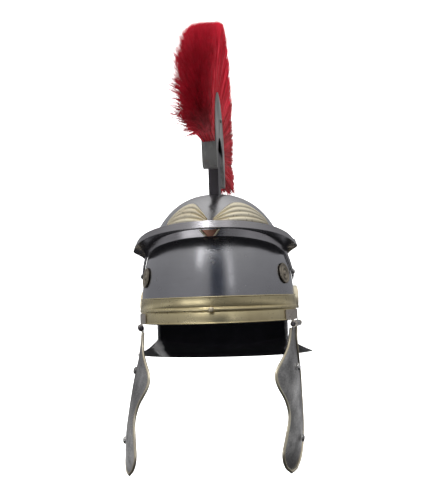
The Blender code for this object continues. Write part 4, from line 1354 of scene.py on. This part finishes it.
floor_profile = [(0.0, FLOOR), (FLOOR_RADIUS, FLOOR)]
floor_profile += [
    (FLOOR_RADIUS + SWEEP_RADIUS * sin(a), FLOOR + SWEEP_RADIUS * (1 - cos(a)))
    for a in spread(0, pi / 2, 16)[1:]
]
floor_profile += [(FLOOR_RADIUS + SWEEP_RADIUS, FLOOR + BACKDROP_HEIGHT)]
sweep = put_in_scene("sweep", turned_solid(floor_profile, 96), pale_finish())
sweep.data.shade_smooth()
sweep.visible_glossy = False
print("Floor at", round(FLOOR, 3))

# %% World
# Share of the way from straight down to straight up, then the colour; the two ends come first
SKY = (
    (0.0, (0.03, 0.03, 0.032)), (1.0, (1.0, 0.99, 0.96)), (0.34, (0.05, 0.05, 0.052)),
    (0.37, (0.55, 0.55, 0.56)), (0.42, (0.50, 0.50, 0.51)), (0.46, (0.16, 0.16, 0.165)),
    (0.52, (0.29, 0.29, 0.305)), (0.75, (0.42, 0.42, 0.425)),
)
world = bpy.data.worlds.new("studio")
bpy.context.scene.world = world
world.use_nodes = True
world.node_tree.nodes.clear()
sky = Sheet(world.node_tree)
direction = sky.add("ShaderNodeTexCoord", output="Generated")
height = sky.add("ShaderNodeSeparateXYZ", {}, {"Vector": direction}, output="Z")
ramp = world.node_tree.nodes.new("ShaderNodeValToRGB")
sky.fill(ramp, {"Fac": height * 0.5 + 0.5})
stops = ramp.color_ramp.elements
for index, (position, colour) in enumerate(SKY):
    stop = stops[index] if index < 2 else stops.new(position)
    stop.position = position
    stop.color = (*colour, 1)
light = sky.add("ShaderNodeBackground", {}, {"Color": Wire(sky, ramp.outputs["Color"]), "Strength": 1.0})
sky.fill(world.node_tree.nodes.new("ShaderNodeOutputWorld"), {"Surface": light})
print("World stops:", len(stops))

# %% Camera
CAMERA_DISTANCE = 0.850
CAMERA_AZIMUTH = radians(4.3)
CAMERA_HEIGHT = 0.0276
CAMERA_PITCH = radians(5.12)
CAMERA_ROLL = radians(-1.9)
CAMERA_PAN = radians(0.16)


def at_azimuth(azimuth, distance, height):
    """Place round the helmet, azimuth 0 in front of it."""
    return Vector((distance * sin(azimuth), -distance * cos(azimuth), height))


camera_data = bpy.data.cameras.new("camera")
camera_data.lens = 45.2
camera_data.sensor_width = 36.0
camera_data.clip_start = 0.01
camera = bpy.data.objects.new("camera", camera_data)
bpy.context.scene.collection.objects.link(camera)
camera.location = at_azimuth(CAMERA_AZIMUTH, CAMERA_DISTANCE, CAMERA_HEIGHT)
turn = Matrix.Rotation(CAMERA_AZIMUTH + CAMERA_PAN, 3, "Z") @ Matrix.Rotation(pi / 2 + CAMERA_PITCH, 3, "X")
camera.rotation_euler = (turn @ Matrix.Rotation(CAMERA_ROLL, 3, "Z")).to_euler()
bpy.context.scene.camera = camera
bpy.context.scene.view_settings.view_transform = "Standard"
print("Camera lens in mm:", camera_data.lens)

# %% Lights
LIGHT_AIM = Vector((0, 0, 0.06))


def soft_box(name, place, size, brightness, shows=True):
    """Rectangular soft light aimed at the helmet; shows tells if polished metal mirrors it."""
    data = bpy.data.lights.new(name, "AREA")
    data.shape = "RECTANGLE"
    data.size, data.size_y = size
    data.energy = brightness * pi * size[0] * size[1]
    made = bpy.data.objects.new(name, data)
    bpy.context.scene.collection.objects.link(made)
    made.location = place
    made.rotation_euler = (LIGHT_AIM - place).to_track_quat("-Z", "Y").to_euler()
    made.visible_camera = False
    made.visible_glossy = shows


soft_box("left bar", at_azimuth(radians(-24), 2.2, 1.55), (0.46, 0.8), 1.25)
soft_box("low light", at_azimuth(radians(-26), 1.4, -0.20), (1.3, 0.22), 2.0)
soft_box("right bar", at_azimuth(radians(28), 2.2, 1.10), (0.26, 1.3), 0.7)
soft_box("wide rim light", at_azimuth(0, 1.7, 2.2), (2.0, 0.5), 1.2)
soft_box("rim light", at_azimuth(radians(-10), 1.7, 2.1), (0.5, 0.5), 12.0)
soft_box("top light", Vector((0.2, -0.3, 2.6)), (2.4, 2.4), 1.6, False)
soft_box("front fill", Vector((-0.5, -2.4, 1.3)), (1.6, 1.6), 4.0, False)
soft_box("rear fill", Vector((1.8, 1.2, 1.4)), (1.4, 1.4), 3.0, False)

# %% Black card
CARD_PLACE = at_azimuth(radians(6), 1.25, 0.35)

card_mesh = bmesh.new()
add_grid(card_mesh, (-0.25, 0.25), (-0.6, 0.9), lambda x, z: Vector((x, 0, z)) + CARD_PLACE)
card_black = paint_finish("black card", (0.012, 0.016, 0.026), 0.9)[0]
card = put_in_scene("black card", card_mesh, card_black)
card.visible_camera = False
print("Card at", [round(value, 2) for value in CARD_PLACE])
